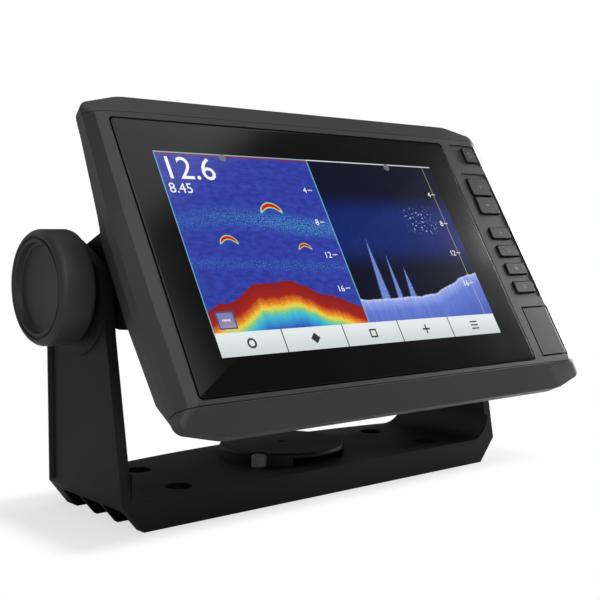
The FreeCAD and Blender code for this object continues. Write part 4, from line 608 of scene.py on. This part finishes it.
def knob(side):
    """Turned grip: bevelled rim, raised ring and a dished end."""
    name = side + "_knob_grip"
    low, high = extent(name)
    sign = 1 if side == "right" else -1
    back, end = (low.x, high.x) if sign > 0 else (-high.x, -low.x)
    radius = (high.z - low.z) / 2
    outline = [(back + step * MM, share) for step, share in KNOB_BACK]
    outline += [(end - step * MM, share) for step, share in KNOB_END]
    form = bmesh.new()
    points = [form.verts.new((sign * x, PIVOT.y, PIVOT.z + share * radius)) for x, share in outline]
    line = [form.edges.new(pair) for pair in zip(points, points[1:])]
    bmesh.ops.spin(form, geom=points + line, cent=PIVOT, axis=(1, 0, 0), angle=2 * math.pi,
                   steps=KNOB_STEPS, use_merge=True)
    bmesh.ops.remove_doubles(form, verts=form.verts, dist=SAME_PLACE)
    return piece(name + "_turned", form, KNOB, side + "_knob", (name,), sharp=35)


# ---- signs on the keys --------------------------------------------------------------------------
INK_THICKNESS = 0.02 * MM

# signs in millimetres: a ring's radius and width, a disc's radius and number of sides, and a bar's
# x, z, width and height
SIGNS = {
    "power_key": {"rings": ((1.5, 0.35),), "bars": ((0, 1.3, 0.4, 1.5),)},
    "zoom_in_key": {"bars": ((0, 0, 2.6, 0.45), (0, 0, 0.45, 2.6))},
    "zoom_out_key": {"bars": ((0, 0, 2.6, 0.45),)},
    "menu_key_1": {"discs": ((1.1, 3),)},
    "menu_key_2": {"rings": ((1.15, 0.35),)},
    "menu_key_3": {"discs": ((1.2, 4),)},
    "menu_key_4": {"bars": ((0, -0.8, 2.4, 0.35), (0, 0, 2.4, 0.35), (0, 0.8, 2.4, 0.35))},
}
RING_SIDES = 28


def bar_sign(form, x, z, wide, high):
    made = bmesh.ops.create_cube(form, size=1.0)["verts"]
    bmesh.ops.scale(form, vec=(wide * MM, INK_THICKNESS, high * MM), verts=made)
    bmesh.ops.translate(form, vec=(x * MM, 0, z * MM), verts=made)


def ring_sign(form, radius, width):
    made = bmesh.ops.create_circle(form, segments=RING_SIDES, radius=radius * MM)["verts"]
    edges = {edge for vert in made for edge in vert.link_edges}
    inner = bmesh.ops.extrude_edge_only(form, edges=list(edges))["geom"]
    inside = [item for item in inner if isinstance(item, bmesh.types.BMVert)]
    share = (radius - width) / radius
    bmesh.ops.scale(form, vec=(share, share, 1), verts=inside)
    faces = [item for item in inner if isinstance(item, bmesh.types.BMFace)]
    raised = bmesh.ops.extrude_face_region(form, geom=faces)["geom"]
    up = [item for item in raised if isinstance(item, bmesh.types.BMVert)]
    bmesh.ops.translate(form, vec=(0, 0, INK_THICKNESS), verts=up)
    bmesh.ops.rotate(form, cent=(0, 0, 0), matrix=FACE_OUT.to_3x3(), verts=made + inside + up)


def disc_sign(form, radius, sides):
    bmesh.ops.create_cone(form, cap_ends=True, segments=sides, radius1=radius * MM,
                          radius2=radius * MM, depth=INK_THICKNESS, matrix=FACE_OUT)


def key_sign(node):
    """Small plain sign printed on the middle of a key."""
    low, high = extent(node, HEAD)
    form = bmesh.new()
    for kind, draw in (("rings", ring_sign), ("discs", disc_sign), ("bars", bar_sign)):
        for sizes in SIGNS[node].get(kind, ()):
            draw(form, *sizes)
    middle = (low + high) / 2
    spot = Vector((middle.x, low.y - INK_THICKNESS / 2, middle.z))
    bmesh.ops.translate(form, vec=spot, verts=form.verts)
    return piece(node + "_sign", form, INK, BODY_OF[node], axes=HEAD)


# ---- the object ---------------------------------------------------------------------------------
ARM_TOP_RISE = 18.5 * MM         # top of the arms above the tilt axis
ARM_SLOPE = math.radians(26)     # the arms slope down from there to the front
FLOW_TURN = 20.0                 # edges that turn by less than this many degrees stay as they are
CASE_EDGE = 0.30 * MM
BRACKET_EDGE = 0.70 * MM
REAR_EDGE = 0.40 * MM
CRADLE_EDGE = 0.35 * MM
SMALL_EDGE = 0.25 * MM
KEY_EDGE = 0.15 * MM
KEY_GAP = 0.25 * MM
DOOR_GAP = 0.50 * MM
SCALE_FIGURES = 2.8              # height of the numbers on the depth scales
SCALE_SPACE = 1.9                # from the numbers to their marks
screen_glass()
for side in ("left", "right"):
    knob(side)
for node in ("front_bezel", "top_trim_cap", "bottom_trim_cap"):
    softened(node, CASE_EDGE)
arm_top = PIVOT + Vector((0, 0, ARM_TOP_RISE))
slope = Vector((0, -math.sin(ARM_SLOPE), math.cos(ARM_SLOPE)))
softened("bail_bracket", BRACKET_EDGE, FLOW_TURN,
         cuts=((arm_top, Vector((0, 0, 1))), (arm_top, slope)))
softened("rear_cover", REAR_EDGE, FLOW_TURN)
softened("cradle_body", CRADLE_EDGE, FLOW_TURN)
softened("release_latch", SMALL_EDGE, FLOW_TURN)
softened("card_door", SMALL_EDGE, FLOW_TURN, gap=DOOR_GAP)
for key in KEY_NODES:
    softened(key, KEY_EDGE, FLOW_TURN, gap=KEY_GAP)
    key_sign(key)
figures("depth_reading", "12.6", 1.3, 75.6, 10.6)
figures("speed_reading", "8.45", 1.9, 69.2, 4.6)
for mark in SCALE_MARKS:
    level = HIGH - mark * SCALE_STEP - SCALE_FIGURES / 2
    for side, scale_x in (("left", LEFT_SCALE_X), ("right", RIGHT_SCALE_X)):
        figures("%s_scale_%d" % (side, mark), str(SCALE_UNIT * mark), scale_x - SCALE_SPACE, level,
                SCALE_FIGURES, align="RIGHT")

# ---- floor, light and camera --------------------------------------------------------------------
WHITE_LEVEL = 1.0
FLOOR_SIZE = 8.0
FLOOR_DROP = 0.02 * MM
SHADOW = 0.32                    # share of the shadow that the eye sees
FAR = 0.018                      # this far from the base the floor is as white as the background


def seen_directly(tree):
    """1 for what the camera sees, also through glass."""
    path = tree.nodes.new("ShaderNodeLightPath")
    first = tree.nodes.new("ShaderNodeMath")
    first.operation = "MAXIMUM"
    tree.links.new(path.outputs["Is Camera Ray"], first.inputs[0])
    tree.links.new(path.outputs["Is Transmission Ray"], first.inputs[1])
    return first.outputs[0]


foot_low, foot_high = extent("bail_bracket")
FOOT_Y = (foot_low.y + foot_high.y) / 2
FOOT_DEPTH = foot_high.y - foot_low.y


def make_floor():
    form = bmesh.new()
    bmesh.ops.create_grid(form, x_segments=8, y_segments=8, size=FLOOR_SIZE / 2)
    bmesh.ops.translate(form, vec=(0, 0, -FLOOR_DROP), verts=form.verts)
    mesh = bpy.data.meshes.new("floor")
    form.to_mesh(mesh)
    form.free()
    made = bpy.data.objects.new("floor", mesh)
    bpy.context.scene.collection.objects.link(made)
    finish = Finish("pale_floor", {"Base Color": (0.88, 0.88, 0.88, 1), "Roughness": 0.9,
                                   "Specular IOR Level": 0.0})
    tree = finish.tree
    glow = tree.nodes.new("ShaderNodeEmission")
    glow.inputs["Strength"].default_value = WHITE_LEVEL
    split = tree.nodes.new("ShaderNodeSeparateXYZ")
    finish.feed(split.inputs[0], finish.place())
    x = (abs(Value(finish, split.outputs[0])) - cad_box[1][0]).most(0.0)
    y = (abs(Value(finish, split.outputs[1]) - FOOT_Y) - FOOT_DEPTH / 2).most(0.0)
    away = (x * x + y * y).root()
    far = (1 - SHADOW * (1 - away.rises(0.0, FAR))) * Value(finish, seen_directly(tree))
    both = tree.nodes.new("ShaderNodeMixShader")
    tree.links.new(far.socket, both.inputs[0])
    tree.links.new(finish.shader.outputs[0], both.inputs[1])
    tree.links.new(glow.outputs[0], both.inputs[2])
    tree.links.new(both.outputs[0], tree.nodes["Material Output"].inputs["Surface"])
    mesh.materials.append(finish.material)


BRIGHT_SIDE = (-0.49, 0.87, 0.04)
BRIGHT_FROM = (0.84, 0.97)       # cosines of the angles at which it starts and is full
DIM_LEVEL = 0.10
BRIGHT_LEVEL = 0.7


def make_world():
    """White to the eye. To everything else a dim studio with a bright side, behind on the left."""
    world = bpy.data.worlds.new("studio")
    bpy.context.scene.world = world
    world.use_nodes = True
    tree = world.node_tree
    background = tree.nodes["Background"]
    place = tree.nodes.new("ShaderNodeTexCoord")
    facing = tree.nodes.new("ShaderNodeVectorMath")
    facing.operation = "DOT_PRODUCT"
    facing.inputs[1].default_value = BRIGHT_SIDE
    tree.links.new(place.outputs["Generated"], facing.inputs[0])
    level = tree.nodes.new("ShaderNodeMapRange")
    level.interpolation_type = "SMOOTHSTEP"
    for socket, value in enumerate((*BRIGHT_FROM, DIM_LEVEL, BRIGHT_LEVEL), start=1):
        level.inputs[socket].default_value = value
    tree.links.new(facing.outputs["Value"], level.inputs[0])
    strength = tree.nodes.new("ShaderNodeMix")
    tree.links.new(seen_directly(tree), strength.inputs[0])
    tree.links.new(level.outputs[0], strength.inputs[2])
    strength.inputs[3].default_value = WHITE_LEVEL
    tree.links.new(strength.outputs[0], background.inputs["Strength"])
    background.inputs["Color"].default_value = (1, 1, 1, 1)


STUDIO_MIDDLE = Vector((0.0, 0.0, 0.09))
SOFTBOXES = (                    # name, place, width, height, watts
    ("overhead_softbox", (0.14, -0.16, 1.10), 0.95, 0.75, 3.0),
    ("right_softbox", (1.00, 0.02, 0.33), 0.40, 0.40, 11.0),
    ("front_softbox", (0.02, -0.70, 0.90), 0.60, 0.60, 2.2),
    ("left_front_softbox", (-0.36, -0.86, 0.50), 0.40, 0.40, 2.4),
    ("left_softbox", (-0.84, -0.50, 0.16), 0.30, 0.30, 0.25),
    ("back_softbox", (-0.20, 0.85, 0.75), 0.60, 0.60, 0.5),
)


def softbox(name, place, wide, high, watts):
    lamp = bpy.data.lights.new(name, "AREA")
    lamp.shape = "RECTANGLE"
    lamp.size = wide
    lamp.size_y = high
    lamp.energy = watts
    made = bpy.data.objects.new(name, lamp)
    made.location = place
    made.rotation_euler = (STUDIO_MIDDLE - Vector(place)).to_track_quat("-Z", "Y").to_euler()
    bpy.context.scene.collection.objects.link(made)


SENSOR = 36.0
LENS = 63.2
CAMERA_PLACE = (-0.3071, -0.3696, 0.1131)
CAMERA_YAW = math.radians(40.1)
CAMERA_DIP = math.radians(3.5)


def make_camera():
    lens = bpy.data.cameras.new("camera")
    lens.sensor_width = SENSOR
    lens.lens = LENS
    lens.clip_start = 0.01
    made = bpy.data.objects.new("camera", lens)
    made.location = CAMERA_PLACE
    turn = Matrix.Rotation(-CAMERA_YAW, 4, "Z") @ Matrix.Rotation(math.pi / 2 - CAMERA_DIP, 4, "X")
    made.rotation_euler = turn.to_euler()
    bpy.context.scene.collection.objects.link(made)
    bpy.context.scene.camera = made


make_floor()
make_world()
for settings in SOFTBOXES:
    softbox(*settings)
make_camera()
bpy.context.scene.view_settings.view_transform = "Standard"
